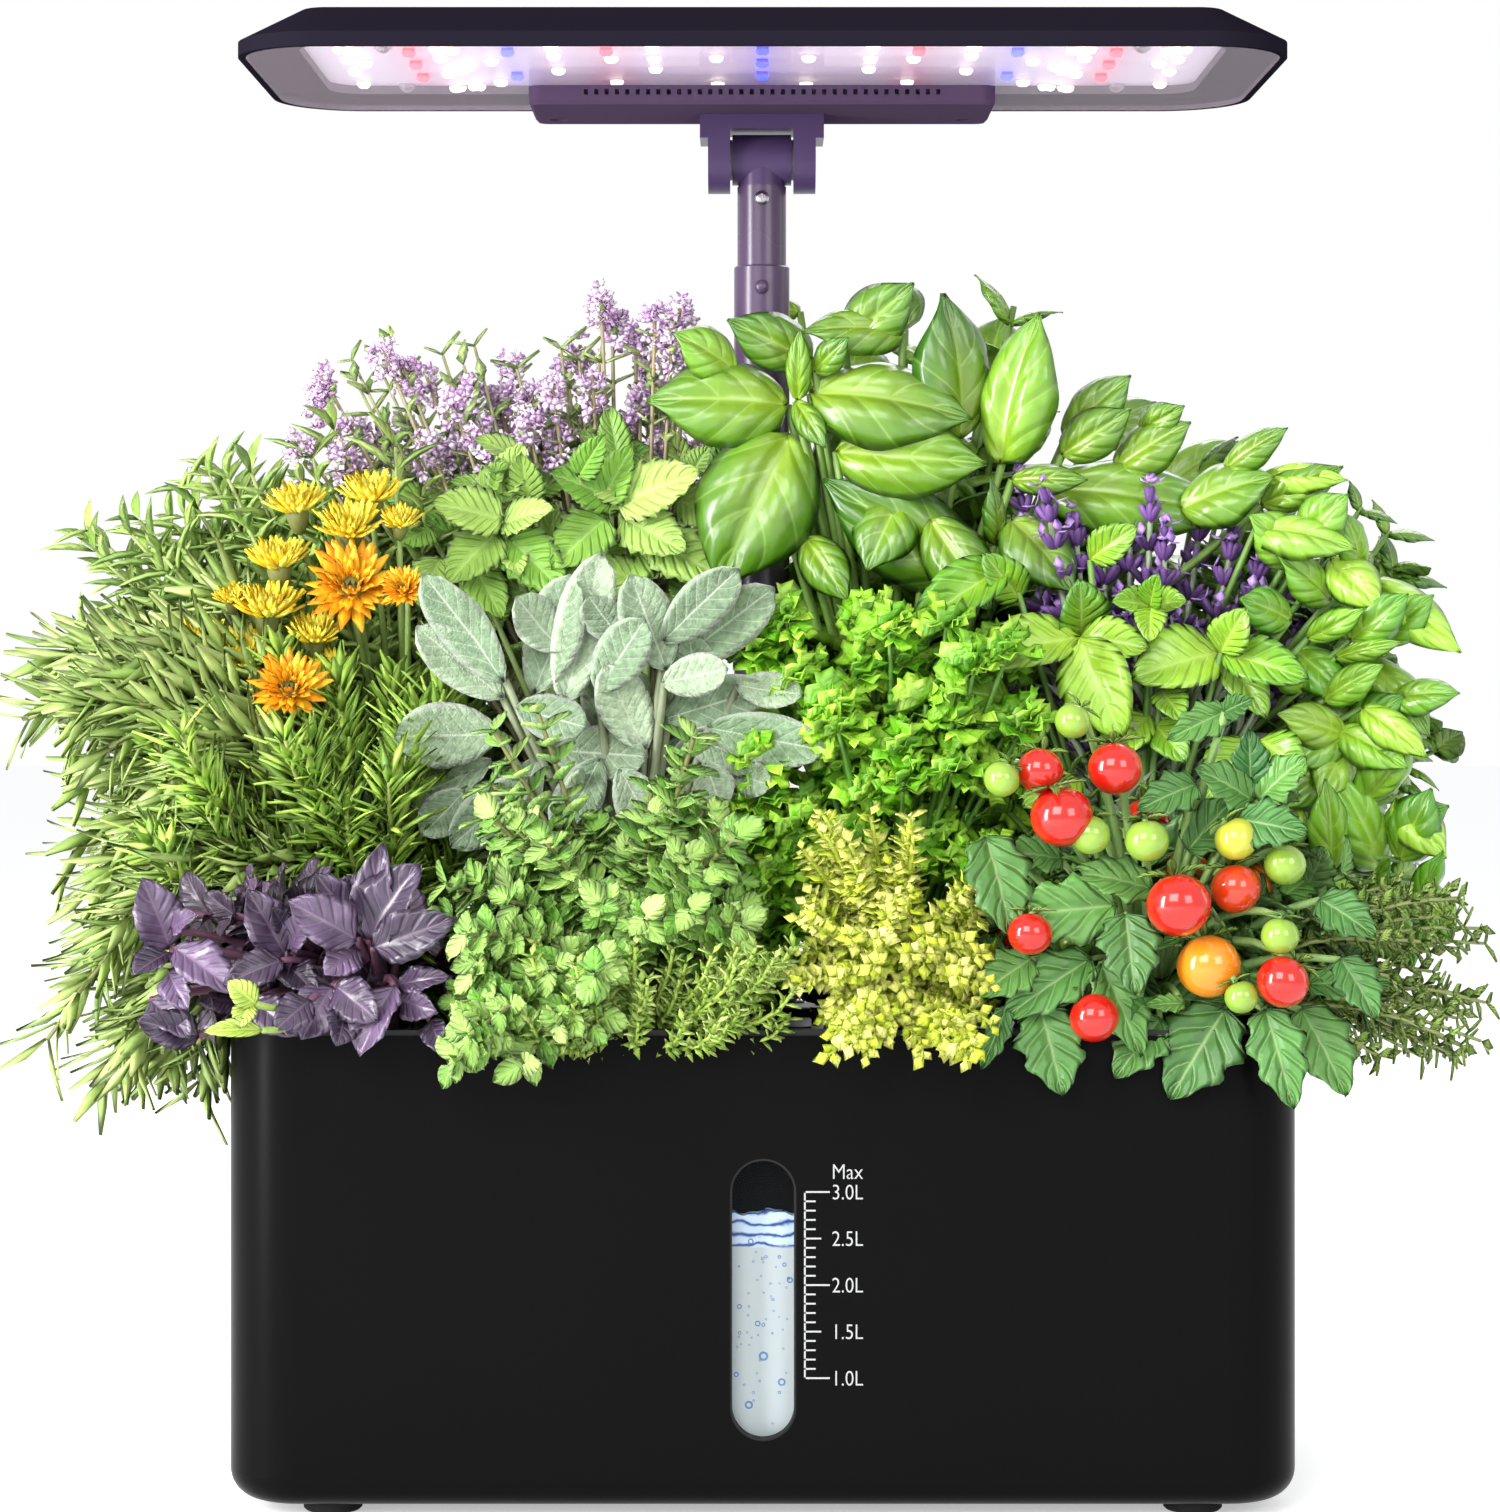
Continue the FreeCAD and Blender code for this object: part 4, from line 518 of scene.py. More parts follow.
def ring_form(rings):
    """A closed surface through rings of points, each ring turning the same way about the path:
    faces join each ring to the next, and rungs across the first and last ring close the ends."""
    count, sides = rings.shape[:2]
    grid = np.arange(count * sides).reshape(count, sides)
    ahead = np.roll(grid, -1, axis=1)
    wall = np.stack([grid[:-1], ahead[:-1], ahead[1:], grid[1:]], -1).reshape(-1, 4)
    rung = np.arange(sides // 2 - 1)
    end = np.stack([rung, rung + 1, sides - 2 - rung, sides - 1 - rung], -1)
    quads = np.concatenate([wall, end[:, ::-1], end + grid[-1, 0]])
    along, around = np.meshgrid(np.linspace(0, 1, count), np.linspace(0, 1, sides), indexing="ij")
    uv = np.stack([along, around], -1).reshape(-1, 2)
    return {"points": rings.reshape(-1, 3), "quads": quads, "uv": uv, "under": np.zeros(count * sides)}


def turned_form(places, radii, sides):
    """A closed round form: a circle of each radius at each place along x."""
    places = np.asarray(places, float)[:, None]
    radii = np.asarray(radii, float)[:, None]
    angle = np.arange(sides) * 2 * np.pi / sides
    return ring_form(np.stack([np.broadcast_to(places, (len(places), sides)), radii * np.cos(angle),
                               radii * np.sin(angle)], -1))


def leaf_form(along, across, shape, thick=0.02):
    """A closed leaf: the top is the grid shape(u, v), u from base to tip and v from edge to edge,
    and the underside lies below it by a lens that is thick in the middle and nothing at the rim."""
    u, v = np.meshgrid(np.linspace(0, 1, along + 1), np.linspace(-1, 1, across + 1), indexing="ij")
    top = np.stack(shape(u, v), -1)
    low = top.copy()
    low[..., 2] -= thick * (1 - v ** 2) * np.minimum(1.0, 8 * u * (1 - u))
    inner = low[1:-1, 1:-1].reshape(-1, 3)
    grid = np.arange(u.size).reshape(u.shape)
    below = grid.copy()
    below[1:-1, 1:-1] = u.size + np.arange(len(inner)).reshape(along - 1, across - 1)
    upper = np.stack([grid[:-1, :-1], grid[1:, :-1], grid[1:, 1:], grid[:-1, 1:]], -1).reshape(-1, 4)
    lower = np.stack([below[:-1, :-1], below[:-1, 1:], below[1:, 1:], below[1:, :-1]], -1).reshape(-1, 4)
    uv = np.stack([u, (v + 1) / 2], -1)
    return {"points": np.concatenate([top.reshape(-1, 3), inner]), "quads": np.concatenate([upper, lower]),
            "uv": np.concatenate([uv.reshape(-1, 2), uv[1:-1, 1:-1].reshape(-1, 2)]),
            "under": np.concatenate([np.zeros(u.size), np.ones(len(inner))])}


def oval(u, widest=0.42, blunt=0.8, stalk=0.05):
    """Half width of an oval leaf along its length, one at its widest place: a sine whose argument is
    bent so that the leaf is widest there, never thinner than its stalk."""
    bend = np.log(0.5) / np.log(widest)
    return np.maximum(np.sin(np.pi * np.clip(u, 0, 1) ** bend) ** blunt, stalk)


UNDERSIDE = (0.42, 0.55, 0.30)


def repeated(form, place, along, face, length, width, colour, slot=0, pale=0.0):
    """Copies of a form: its x runs along, its z towards face and its y square to both, times
    length and width. The underside's colour is blended by pale towards a pale green."""
    along = unit(along)
    face = unit(face - (face * along).sum(-1, keepdims=True) * along)
    side = np.cross(face, along)
    count = len(place)
    length = np.broadcast_to(length, count)[:, None]
    width = np.broadcast_to(width, count)[:, None]
    shape = form["points"][None]
    points = (place[:, None] + shape[..., 0:1] * (along * length)[:, None]
              + shape[..., 1:2] * (side * width)[:, None] + shape[..., 2:3] * (face * length)[:, None])
    quads = form["quads"][None] + (np.arange(count) * shape.shape[1])[:, None, None]
    under = pale * form["under"][None, :, None]
    tint = colour[:, None] * (1 - under) + np.array(UNDERSIDE) * under
    return (points.reshape(-1, 3), quads.reshape(-1, 4), np.tile(form["uv"], (count, 1)),
            tint.reshape(-1, 3), np.full(count * len(form["quads"]), slot))


def curve_points(ends, fractions):
    """Points and directions at the fractions of cubic curves, each given by its four points."""
    t = np.asarray(fractions)
    t = np.broadcast_to(t, (len(ends), t.shape[-1]))[..., None]
    a, b, c, d = (ends[:, i][:, None] for i in range(4))
    place = (1 - t) ** 3 * a + 3 * (1 - t) ** 2 * t * b + 3 * (1 - t) * t ** 2 * c + t ** 3 * d
    heading = (1 - t) ** 2 * (b - a) + 2 * (1 - t) * t * (c - b) + t ** 2 * (d - c)
    return place, unit(heading)


STEM_SPREAD = 0.0035


def arched(root, tips, lift, arch):
    """Cubic curves from about the root to the tips: they leave it upwards by lift, and come to the
    tip from a point that stands arch above the way there."""
    flat = (tips - root) * (1, 1, 0)
    root = root + STEM_SPREAD * flat / (np.linalg.norm(flat, axis=1, keepdims=True) + 1e-9)
    up = np.array((0, 0, 1.0))
    out = tips - root
    first = root + 0.15 * out + up * np.reshape(lift, (-1, 1))
    second = root + 0.62 * out + up * np.reshape(arch, (-1, 1))
    return np.stack([root, first, second, tips], 1)


def stem_tubes(ends, thick, thin, colour, steps=9, sides=4, slot=1):
    """Closed round stems along cubic curves, whose radius falls evenly from thick to thin."""
    place, heading = curve_points(ends, np.linspace(0, 1, steps))
    radius = np.linspace(thick, thin, steps)[None, :, None, None]
    turn = np.arange(sides) * 2 * np.pi / sides
    rings = place[:, :, None] + radius * spokes(heading, np.array((0.37, 0.91, 0.17)), turn)
    form = ring_form(rings[0])
    count = len(ends)
    size = steps * sides
    quads = form["quads"][None] + (np.arange(count) * size)[:, None, None]
    tint = np.broadcast_to(np.asarray(colour, float), (count * size, 3))
    return (rings.reshape(-1, 3), quads.reshape(-1, 4), np.tile(form["uv"], (count, 1)),
            tint, np.full(count * len(form["quads"]), slot))


def around(ends, fractions, per_node, turn, lean, draw, wobble=0.25):
    """Leaf places along cubic curves: per_node leaves at each fraction, each node turned about the
    stem from the last one, leaning lean radians away from the stem's direction."""
    place, heading = curve_points(ends, fractions)
    stems, nodes = place.shape[:2]
    angle = (draw.random((stems, 1, 1)) * 6.28 + np.arange(nodes)[None, :, None] * turn
             + np.arange(per_node)[None, None, :] * 2 * np.pi / per_node
             + draw.normal(0, wobble, (stems, nodes, per_node)))
    out = spokes(heading, np.array((0.13, 0.35, 0.93)), angle)
    tilt = np.broadcast_to(np.asarray(lean, float), (nodes,))[None, :, None, None]
    tilt = tilt + draw.normal(0, wobble / 2, (*angle.shape, 1))
    along, face = leaned(out, heading[:, :, None], tilt)
    spot = np.broadcast_to(place[:, :, None], along.shape)
    step = np.broadcast_to(np.arange(nodes)[None, :, None] / max(nodes - 1, 1), along.shape[:3])
    return spot.reshape(-1, 3), along.reshape(-1, 3), face.reshape(-1, 3), step.reshape(-1)


def shades(draw, count, dark, light, spread=0.08):
    """Colours drawn evenly between dark and light, each then a little brighter or darker."""
    mix = draw.random((count, 1))
    tone = np.array(dark) * (1 - mix) + np.array(light) * mix
    return np.clip(tone * (1 + draw.normal(0, spread, (count, 1))), 0, 1)


def leafed(leaf, stems, fractions, lean, length, width, up, tones, draw, slot=0, pale=0.35, turn=1.57,
           wobble=0.25):
    """Leaves in pairs along stems, their faces turned by up. A length or width in an array is used
    as it is. Other lengths are the longest in millimetres, two shares to draw between, and how the
    share starts and falls towards the tip; other widths are one share of the length, or two to
    draw between."""
    spots, along, face, step = around(stems, fractions, 2, turn, lean, draw, wobble)
    if not isinstance(length, np.ndarray):
        longest, least, most, start, fall = length
        length = mm(longest) * draw.uniform(least, most, len(spots)) * (start - fall * step)
    if isinstance(width, tuple):
        width = length * draw.uniform(*width, len(spots))
    elif not isinstance(width, np.ndarray):
        width = length * width
    tint = shades(draw, len(spots), *tones)
    return repeated(leaf, spots, along, face + up, length, width, tint, slot, pale)


CUP_FLOOR = 0.0013
PLUG_HEIGHT = 0.0355
PLUG_PLACES = (0.0, 0.02, 0.5, 0.95, 0.99, 1.0)
PLUG_RADII = mm(9.4, 10.4, 11.9, 13.3, 12.6, 9.0) / PLUG_HEIGHT
ROOT_SINK = 0.0025
sponge_plug = turned_form(PLUG_PLACES, PLUG_RADII, 24)
sponge = plastic("plug_sponge", (0.045, 0.030, 0.020), 0.95, 0.8, 700.0, 0.1)


def pod_root(plant):
    """The middle of a pod's plug, where its plant comes out."""
    low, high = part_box(plant + "_cup")
    return np.array(((low[0] + high[0]) / 2, (low[1] + high[1]) / 2, high[2] - ROOT_SINK))


def grown(name, parts, finishes, plant, rooted=True):
    """One closed mesh from the parts' points, faces, map, colours and finish numbers, that rides on
    its pod. A rooted piece has the pod's sponge plug too."""
    if rooted:
        foot = pod_root(plant)[None].copy()
        foot[0, 2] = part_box(plant + "_cup")[0][2] + CUP_FLOOR
        parts = parts + [repeated(sponge_plug, foot, np.array(((0, 0, 1.0),)), np.array(((0, -1.0, 0),)),
                                  PLUG_HEIGHT, PLUG_HEIGHT, np.array(((0.05, 0.035, 0.02),)), len(finishes))]
        finishes = finishes + [sponge]
    starts = np.cumsum([0] + [len(part[0]) for part in parts])
    points = np.concatenate([part[0] for part in parts])
    quads = np.concatenate([part[1] + start for part, start in zip(parts, starts)])
    uv, tint, slot = (np.concatenate([part[k] for part in parts]) for k in (2, 3, 4))
    piece = new_piece(name, points, quads, finishes[0])
    data = piece.data
    data.uv_layers.new(name="leaf_map").data.foreach_set("uv", uv[quads.ravel()].ravel())
    shade = np.concatenate([tint, np.ones((len(points), 1))], 1)
    data.attributes.new("leaf_colour", "FLOAT_COLOR", "POINT").data.foreach_set("color", shade.ravel())
    data.polygons.foreach_set("material_index", slot)
    data.polygons.foreach_set("use_smooth", np.ones(len(quads), bool))
    for finish in finishes[1:]:
        data.materials.append(finish)
    data.update()
    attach(piece, plant + "_pod")
    return piece


def own_colour(tree, noise, least, most, near=0.0, far=1.0):
    """The piece's own colour, made darker and brighter between least and most by a noise."""
    own = add(tree, "Attribute", attribute_name="leaf_colour").outputs["Color"]
    shift = between(tree, noise, least, most, near, far)
    return add(tree, "VectorMath", {0: own, "Scale": shift}, operation="SCALE").outputs[0]


def leaf_finish(name, rough, vein=0.35, vein_colour=(0.55, 0.68, 0.30), side_veins=7.0, lean=2.2, quilt=0.4,
                sheen=0.0, pebble=0.0, specular=0.45, mottle=0.18, coat=0.0, heart=0.0, rim=0.0,
                patch_size=160.0):
    """Leaf skin: the leaf's own colour, mottled, with a pale midrib and slanting side veins that
    dent the surface, so that the leaf swells between them. Its base may be yellower by heart, and
    its rim paler by rim."""
    made, tree = empty_finish(name)
    tone = own_colour(tree, object_noise(tree, patch_size, 3.0), 1 - mottle, 1 + mottle, 0.3, 0.7)
    on_leaf = add(tree, "SeparateXYZ", {0: add(tree, "UVMap", uv_map="leaf_map").outputs["UV"]}).outputs
    aside = sums(tree, "MULTIPLY", sums(tree, "ABSOLUTE", sums(tree, "SUBTRACT", on_leaf["Y"], 0.5)), 2.0)
    run = sums(tree, "SUBTRACT", sums(tree, "MULTIPLY", on_leaf["X"], side_veins),
               sums(tree, "MULTIPLY", aside, lean))
    wave = sums(tree, "PINGPONG", run, 0.5)
    line = sums(tree, "MAXIMUM", between(tree, aside, 1.0, 0.0, 0.0, 0.07, "SMOOTHSTEP"),
                between(tree, wave, 0.6, 0.0, 0.0, 0.07, "SMOOTHSTEP"))
    if rim:
        line = sums(tree, "MAXIMUM", line, between(tree, aside, 0.0, rim, 0.72, 1.0, "SMOOTHSTEP"))
    if heart:
        near = sums(tree, "MULTIPLY", sums(tree, "SUBTRACT", 1.0, aside),
                    sums(tree, "SUBTRACT", 1.0, on_leaf["X"]))
        tone = blended(tree, sums(tree, "MULTIPLY", near, heart), tone, (0.50, 0.66, 0.03, 1))
    swell = between(tree, sums(tree, "MINIMUM", wave, aside), 0.0, 1.0, 0.0, 0.32, "SMOOTHSTEP")
    height = sums(tree, "ADD", swell, sums(tree, "MULTIPLY", object_noise(tree, 1500.0), pebble))
    finished(tree, {"Base Color": blended(tree, sums(tree, "MULTIPLY", line, vein), tone, (*vein_colour, 1)),
                    "Roughness": rough, "Specular IOR Level": specular, "Sheen Weight": sheen,
                    "Sheen Roughness": 0.5, "Coat Weight": coat, "Coat Roughness": 0.18,
                    "Normal": dented(tree, height, quilt, 0.0009)})
    return made


def stem_finish(name, rough=0.6):
    """Stem bark: the stem's own colour, streaked by a stretched noise."""
    made, tree = empty_finish(name)
    streak = object_noise(tree, 700.0, stretch=(1.0, 1.0, 0.25))
    finished(tree, {"Base Color": own_colour(tree, streak, 0.7, 1.3), "Roughness": rough,
                    "Normal": dented(tree, streak, 0.3, 0.0003)})
    return made


def needle_shape(u, v):
    """A blunt narrow needle, arched down towards its tip and a little rounded across."""
    return u, 0.5 * v * oval(u, 0.5, 0.4, 0.35), 0.10 * u - 0.20 * u ** 2 - 0.03 * v ** 2


needle = leaf_form(2, 2, needle_shape, 0.05)
needle_leaf = leaf_finish("rosemary_needle", 0.36, vein=0.45, vein_colour=(0.50, 0.62, 0.22), side_veins=0.0,
                          lean=0.0, quilt=0.3, mottle=0.25)
bark = stem_finish("herb_stem")
INNER_WINDOWS = ((44, (140, 450), (730, 980), (-0.045, 0.0)), (16, (320, 450), (640, 800), (-0.020, 0.010)))
draw = np.random.default_rng(11)
root = pod_root("rosemary")
tips = tips_in(draw, INNER_WINDOWS, (26, (-125, 6, 170), (64, 44, 70), 0.5, -0.6))
shoots = arched(root, tips, 0.03 + 0.02 * draw.random(len(tips)), 0.01 + 0.02 * draw.random(len(tips)))
shoots[:, 2] = 0.35 * shoots[:, 2] + 0.65 * (tips - mm(0, 0, 30) * draw.uniform(0.5, 1.5, (len(tips), 1)))
inner_shoots = grown("rosemary_shoots", [
    leafed(needle, shoots, np.linspace(0.40, 1.0, 24), 0.72, (19, 0.75, 1.2, 1.05, 0.35), mm(2.9), 0,
           ((0.12, 0.34, 0.012), (0.56, 0.84, 0.09), 0.18), draw, 0, 0.0, 2.4),
    stem_tubes(shoots, 0.0013, 0.0007, (0.30, 0.36, 0.10))], [needle_leaf, bark], "rosemary")
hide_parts("rosemary")

# The outer shoots of rosemary have longer, olive-green leaves and bend down past the tank's end
OUTER_WINDOWS = (
    (34, (20, 220), (640, 900), (-0.03, 0.045)), (30, (40, 260), (900, 1060), (-0.05, 0.03)),
    (20, (60, 240), (590, 720), (-0.01, 0.05)), (14, (100, 230), (1030, 1085), (-0.06, 0.0)))
tips = tips_in(draw, OUTER_WINDOWS, (20, (-150, 30, 165), (55, 45, 60), 0.6, -0.5))
bent = arched(root, tips, 0.035 + 0.02 * draw.random(len(tips)), 0.045 + 0.02 * draw.random(len(tips)))
grown("rosemary_outer_shoots", [
    leafed(needle, bent, np.linspace(0.44, 1.0, 22), 0.60, (23, 0.75, 1.25, 1.05, 0.35), mm(3.7), 0,
           ((0.15, 0.30, 0.04), (0.58, 0.72, 0.24), 0.18), draw, 0, 0.0, 2.4),
    stem_tubes(bent, 0.0015, 0.0007, (0.26, 0.28, 0.10))], [needle_leaf, bark], "rosemary", rooted=False)


# Calendula: yellow and orange ray flowers on branching stalks, some seen from the side as fans over
# a dark ribbed cup, with lance-shaped leaves behind them at the back left corner of the deck.
def lance(u, v):
    """A narrow leaf with a fold along its midrib, arched down towards its tip."""
    return u, 0.5 * v * oval(u, 0.45, 1.0), 0.10 * np.abs(v) * oval(u, 0.45, 1.0) - 0.16 * u ** 2


def ray(u, v):
    """A strap-shaped petal with a notched end, curved up along its length."""
    return u * (1 - 0.05 * np.abs(v) * u), 0.5 * v * oval(u, 0.62, 0.55, 0.3), 0.22 * u ** 2 + 0.05 * v ** 2


def broad_shape(u, v):
    """A broad oval leaf, folded and arched, with slightly wavy edges."""
    return u, 0.5 * v * oval(u, 0.5, 0.7), 0.08 * np.abs(v) - 0.12 * u ** 2 + 0.02 * np.sin(9 * u) * v ** 2


lance_leaf = leaf_form(4, 2, lance)
petal = leaf_form(3, 2, ray, 0.03)
petal_finish = stem_finish("ray_petal", 0.55)
BLOOMS = (   # column, row and width in the photograph, and how far it turns to the viewer
    (297, 500, 50, 0.15), (371, 490, 52, 0.15), (349, 522, 54, 0.25), (400, 514, 34, 0.2),
    (279, 556, 52, 0.1), (351, 576, 66, 1.0), (404, 578, 34, 0.8), (268, 604, 56, 0.15),
    (203, 640, 54, 0.1), (246, 648, 52, 0.3), (198, 672, 38, 0.2), (314, 629, 46, 0.2),
    (290, 678, 54, 0.9), (211, 715, 44, 0.3), (232, 590, 30, 0.2), (330, 660, 36, 0.5))
TURNED_AMBER = 0.7
BLOOM_DROP = 12
BLOOM_SCALE = 0.36
ROUNDS = ((1.15, 1.0), (0.80, 0.92), (0.46, 0.75), (0.16, 0.52))   # how wide it opens, length
RAYS = 21
RIBS = 8
blooms = np.array(BLOOMS, float)
draw = np.random.default_rng(23)
root = pod_root("calendula")
depth = -0.004 + 0.014 * draw.random(len(blooms)) - 0.016 * (blooms[:, 3] > TURNED_AMBER)
extra = spread(draw, 12, (-120, 66, 225), (62, 30, 45), 0.7, -0.1)
hearts = np.concatenate([seen(blooms[:, 0], blooms[:, 1] + BLOOM_DROP, depth), extra])
bloom_size = np.concatenate([blooms[:, 2] * BLOOM_SCALE / 1000 / 2, np.full(len(extra), 0.0085)])
turned = np.concatenate([blooms[:, 3], draw.uniform(0.0, 0.5, len(extra))])
facing = unit(np.stack([draw.normal(0, 0.18, len(hearts)),
                        np.where(np.arange(len(hearts)) < len(blooms), -turned * 2.2 - 0.1, 0.5),
                        np.ones(len(hearts))], -1))
parts = []
for ring, (opening, length) in enumerate(ROUNDS):
    angle = (np.arange(RAYS) + 0.5 * ring) * 2 * np.pi / RAYS + draw.normal(0, 0.07, (len(hearts), RAYS))
    lean = (opening + 0.35 * turned[:, None] + draw.normal(0, 0.10, angle.shape))[..., None]
    out = spokes(facing, (0.2, 0.9, 0.3), angle)
    along, face = leaned(out, facing[:, None], lean)
    start = hearts[:, None] + 0.12 * bloom_size[:, None, None] * out
    reach = (bloom_size[:, None] * length * draw.uniform(0.85, 1.1, angle.shape) * 1.1).reshape(-1)
    amber = np.repeat(turned, RAYS)[:, None] > TURNED_AMBER
    gold = np.where(amber, shades(draw, len(reach), (0.96, 0.36, 0.004), (1.0, 0.60, 0.02), 0.05),
                    shades(draw, len(reach), (0.95, 0.66, 0.01), (1.0, 0.90, 0.10), 0.04))
    parts.append(repeated(petal, start.reshape(-1, 3), along.reshape(-1, 3), face.reshape(-1, 3),
                          reach, reach * 0.26, gold, 2))
calyx = turned_form((-0.75, -0.5, -0.1, 0.22, 0.30), (0.12, 0.30, 0.40, 0.34, 0.06), RIBS)
steady = np.broadcast_to((0.1, 1.0, 0.05), facing.shape)
parts.append(repeated(calyx, hearts, facing, steady, bloom_size, bloom_size,
                      shades(draw, len(hearts), (0.10, 0.12, 0.03), (0.20, 0.22, 0.06)), 1))
rib_turn = np.arange(RIBS) * 2 * np.pi / RIBS
sepals = unit(facing[:, None] * 0.9 + np.stack([np.cos(rib_turn), np.sin(rib_turn), 0 * rib_turn], -1) * 0.55)
parts.append(repeated(lance_leaf, np.repeat(hearts - 0.3 * bloom_size[:, None] * facing, RIBS, 0),
                      sepals.reshape(-1, 3), -np.repeat(facing, RIBS, 0), np.repeat(bloom_size, RIBS) * 0.85,
                      np.repeat(bloom_size, RIBS) * 0.16,
                      shades(draw, RIBS * len(hearts), (0.04, 0.045, 0.015), (0.10, 0.10, 0.03)), 1))
stalks = arched(root, hearts - 0.7 * bloom_size[:, None] * facing, 0.05, 0.012)
parts.append(stem_tubes(stalks, 0.0016, 0.0009, (0.22, 0.33, 0.08)))
LANCE_WINDOWS = (
    (40, (90, 330), (520, 680), (0.035, 0.07)), (24, (170, 340), (470, 560), (0.03, 0.07)),
    (20, (260, 440), (430, 620), (0.025, 0.05)))
leafy = arched(root, tips_in(draw, LANCE_WINDOWS, (26, (-125, 74, 205), (70, 24, 62), 0.7, -0.6)), 0.05, 0.02)
spots, along, face, step = around(leafy, np.linspace(0.35, 1.0, 13), 2, 1.57, 0.85, draw)
size = mm(27) * draw.uniform(0.7, 1.2, len(spots)) * (1.05 - 0.5 * step)
parts.append(repeated(lance_leaf, spots, along, face + (0, -0.3, 0.6), size, mm(5.0) * (1.05 - 0.4 * step),
                      shades(draw, len(spots), (0.14, 0.28, 0.03), (0.44, 0.60, 0.14), 0.12), 0, 0.4))
parts.append(stem_tubes(leafy, 0.0015, 0.0006, (0.30, 0.38, 0.12)))
BROAD = ((330, 600, 332, 530), (318, 700, 290, 640), (420, 500, 440, 540), (345, 640, 310, 610))
broad_at = np.array(BROAD, float)
broad_base = seen(broad_at[:, 0], broad_at[:, 1], 0.040)
broad_run = seen(broad_at[:, 2], broad_at[:, 3], 0.030) - broad_base
parts.append(repeated(leaf_form(8, 6, broad_shape), broad_base, broad_run,
                      np.broadcast_to((0.2, -1.0, 0.5), broad_base.shape),
                      np.linalg.norm(broad_run, axis=1) * 1.2, mm(13),
                      shades(draw, len(BROAD), (0.30, 0.55, 0.06), (0.38, 0.62, 0.08)), 0, 0.4))
long_leaf = leaf_finish("lance_leaf", 0.45, vein=0.35, side_veins=4.0, lean=1.5, quilt=0.25)
calendula = grown("calendula_plant", parts, [long_leaf, bark, petal_finish], "calendula")
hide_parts("calendula")


# Flowering thyme: thin wiry stems with small leaves in pairs, each ending in a round head of
# lilac flowers of three lobes.
def lobe_shape(u, v):
    """A petal lobe, widest beyond its middle and cupped both ways."""
    return u, 0.5 * v * oval(u, 0.6, 0.6, 0.25), 0.18 * u ** 2 + 0.06 * v ** 2


def small_shape(u, v):
    """A small oval leaf with a fold along its midrib."""
    return u, 0.5 * v * oval(u, 0.45, 0.8), 0.10 * np.abs(v) - 0.10 * u ** 2


floret = leaf_form(2, 2, lobe_shape, 0.05)
small_leaf = leaf_form(2, 2, small_shape, 0.03)
HEADS = (   # column and row of the flower heads in the photograph
    (322, 375), (318, 398), (341, 452), (370, 430), (383, 350), (404, 368), (425, 372), (452, 398),
    (428, 442), (478, 425), (498, 397), (512, 360), (505, 448), (528, 420), (545, 470), (552, 385),
    (560, 440), (580, 345), (592, 375), (601, 295), (612, 318), (585, 410), (622, 425), (600, 455),
    (636, 330), (655, 315), (680, 308), (672, 335), (650, 365), (686, 350), (640, 395), (668, 388),
    (695, 440), (712, 462), (676, 470), (654, 445), (470, 385), (402, 425), (350, 425), (300, 440),
    (566, 365), (532, 395), (625, 470), (705, 500), (488, 462), (455, 450), (392, 455), (590, 480))
HIGHEST_HEAD = 0.346
PER_HEAD = 32
LOBES = 3
heads_at = np.array(HEADS, float)
draw = np.random.default_rng(37)
root = pod_root("flowering_thyme")
head_depth = 0.028 + 0.040 * draw.random(len(heads_at))
heads = np.concatenate([seen(heads_at[:, 0], heads_at[:, 1], head_depth),
                        spread(draw, 34, (-75, 76, 262), (62, 28, 52), 0.75, 0.0)])
heads[:, 2] = np.minimum(heads[:, 2], HIGHEST_HEAD)
wires = arched(root, heads, 0.06, 0.004)
parts = [stem_tubes(wires, 0.0012, 0.0006, (0.34, 0.30, 0.16))]
way = unit(draw.normal(0, 1, (len(heads), PER_HEAD, 3)) + (0, 0, 0.35))
tier = draw.random((len(heads), PER_HEAD, 1))
droop = draw.random((len(heads), PER_HEAD, 1)) ** 2 * (0, 0, -0.011)
middle = heads[:, None] + way * mm(3.0) * (0.7 + 0.6 * tier) + droop
lobe_turn = np.arange(LOBES) * 2 * np.pi / LOBES + draw.random((len(heads), PER_HEAD, 1)) * 6.28
out = spokes(way, (0.31, 0.2, 0.93), lobe_turn)
lilac = shades(draw, len(heads) * PER_HEAD, (0.76, 0.46, 0.82), (1.0, 0.86, 1.0), 0.08)
parts.append(repeated(floret, np.repeat(middle.reshape(-1, 3), LOBES, 0),
                      (0.85 * out + 0.35 * way[:, :, None]).reshape(-1, 3),
                      np.repeat(way.reshape(-1, 3), LOBES, 0), mm(2.5), mm(2.3),
                      np.repeat(lilac, LOBES, 0), 2))
parts.append(leafed(small_leaf, wires, np.linspace(0.35, 0.97, 11), 1.0, (7.5, 0.6, 1.15, 1.0, 0.0), mm(3.4),
                    (0, -0.2, 0.5), ((0.20, 0.32, 0.06), (0.46, 0.56, 0.18)), draw, 0, 0.5))
LEAFY_COLUMNS = (270, 700)
LEAFY_ROWS = (340, 520)
leafy_seen = seen(draw.uniform(*LEAFY_COLUMNS, 40), draw.uniform(*LEAFY_ROWS, 40), 0.050)
leafy_tips = np.concatenate([leafy_seen, spread(draw, 30, (-70, 70, 235), (64, 28, 62), 0.5, -0.2)])
leafy = arched(root, leafy_tips, 0.05, 0.01)
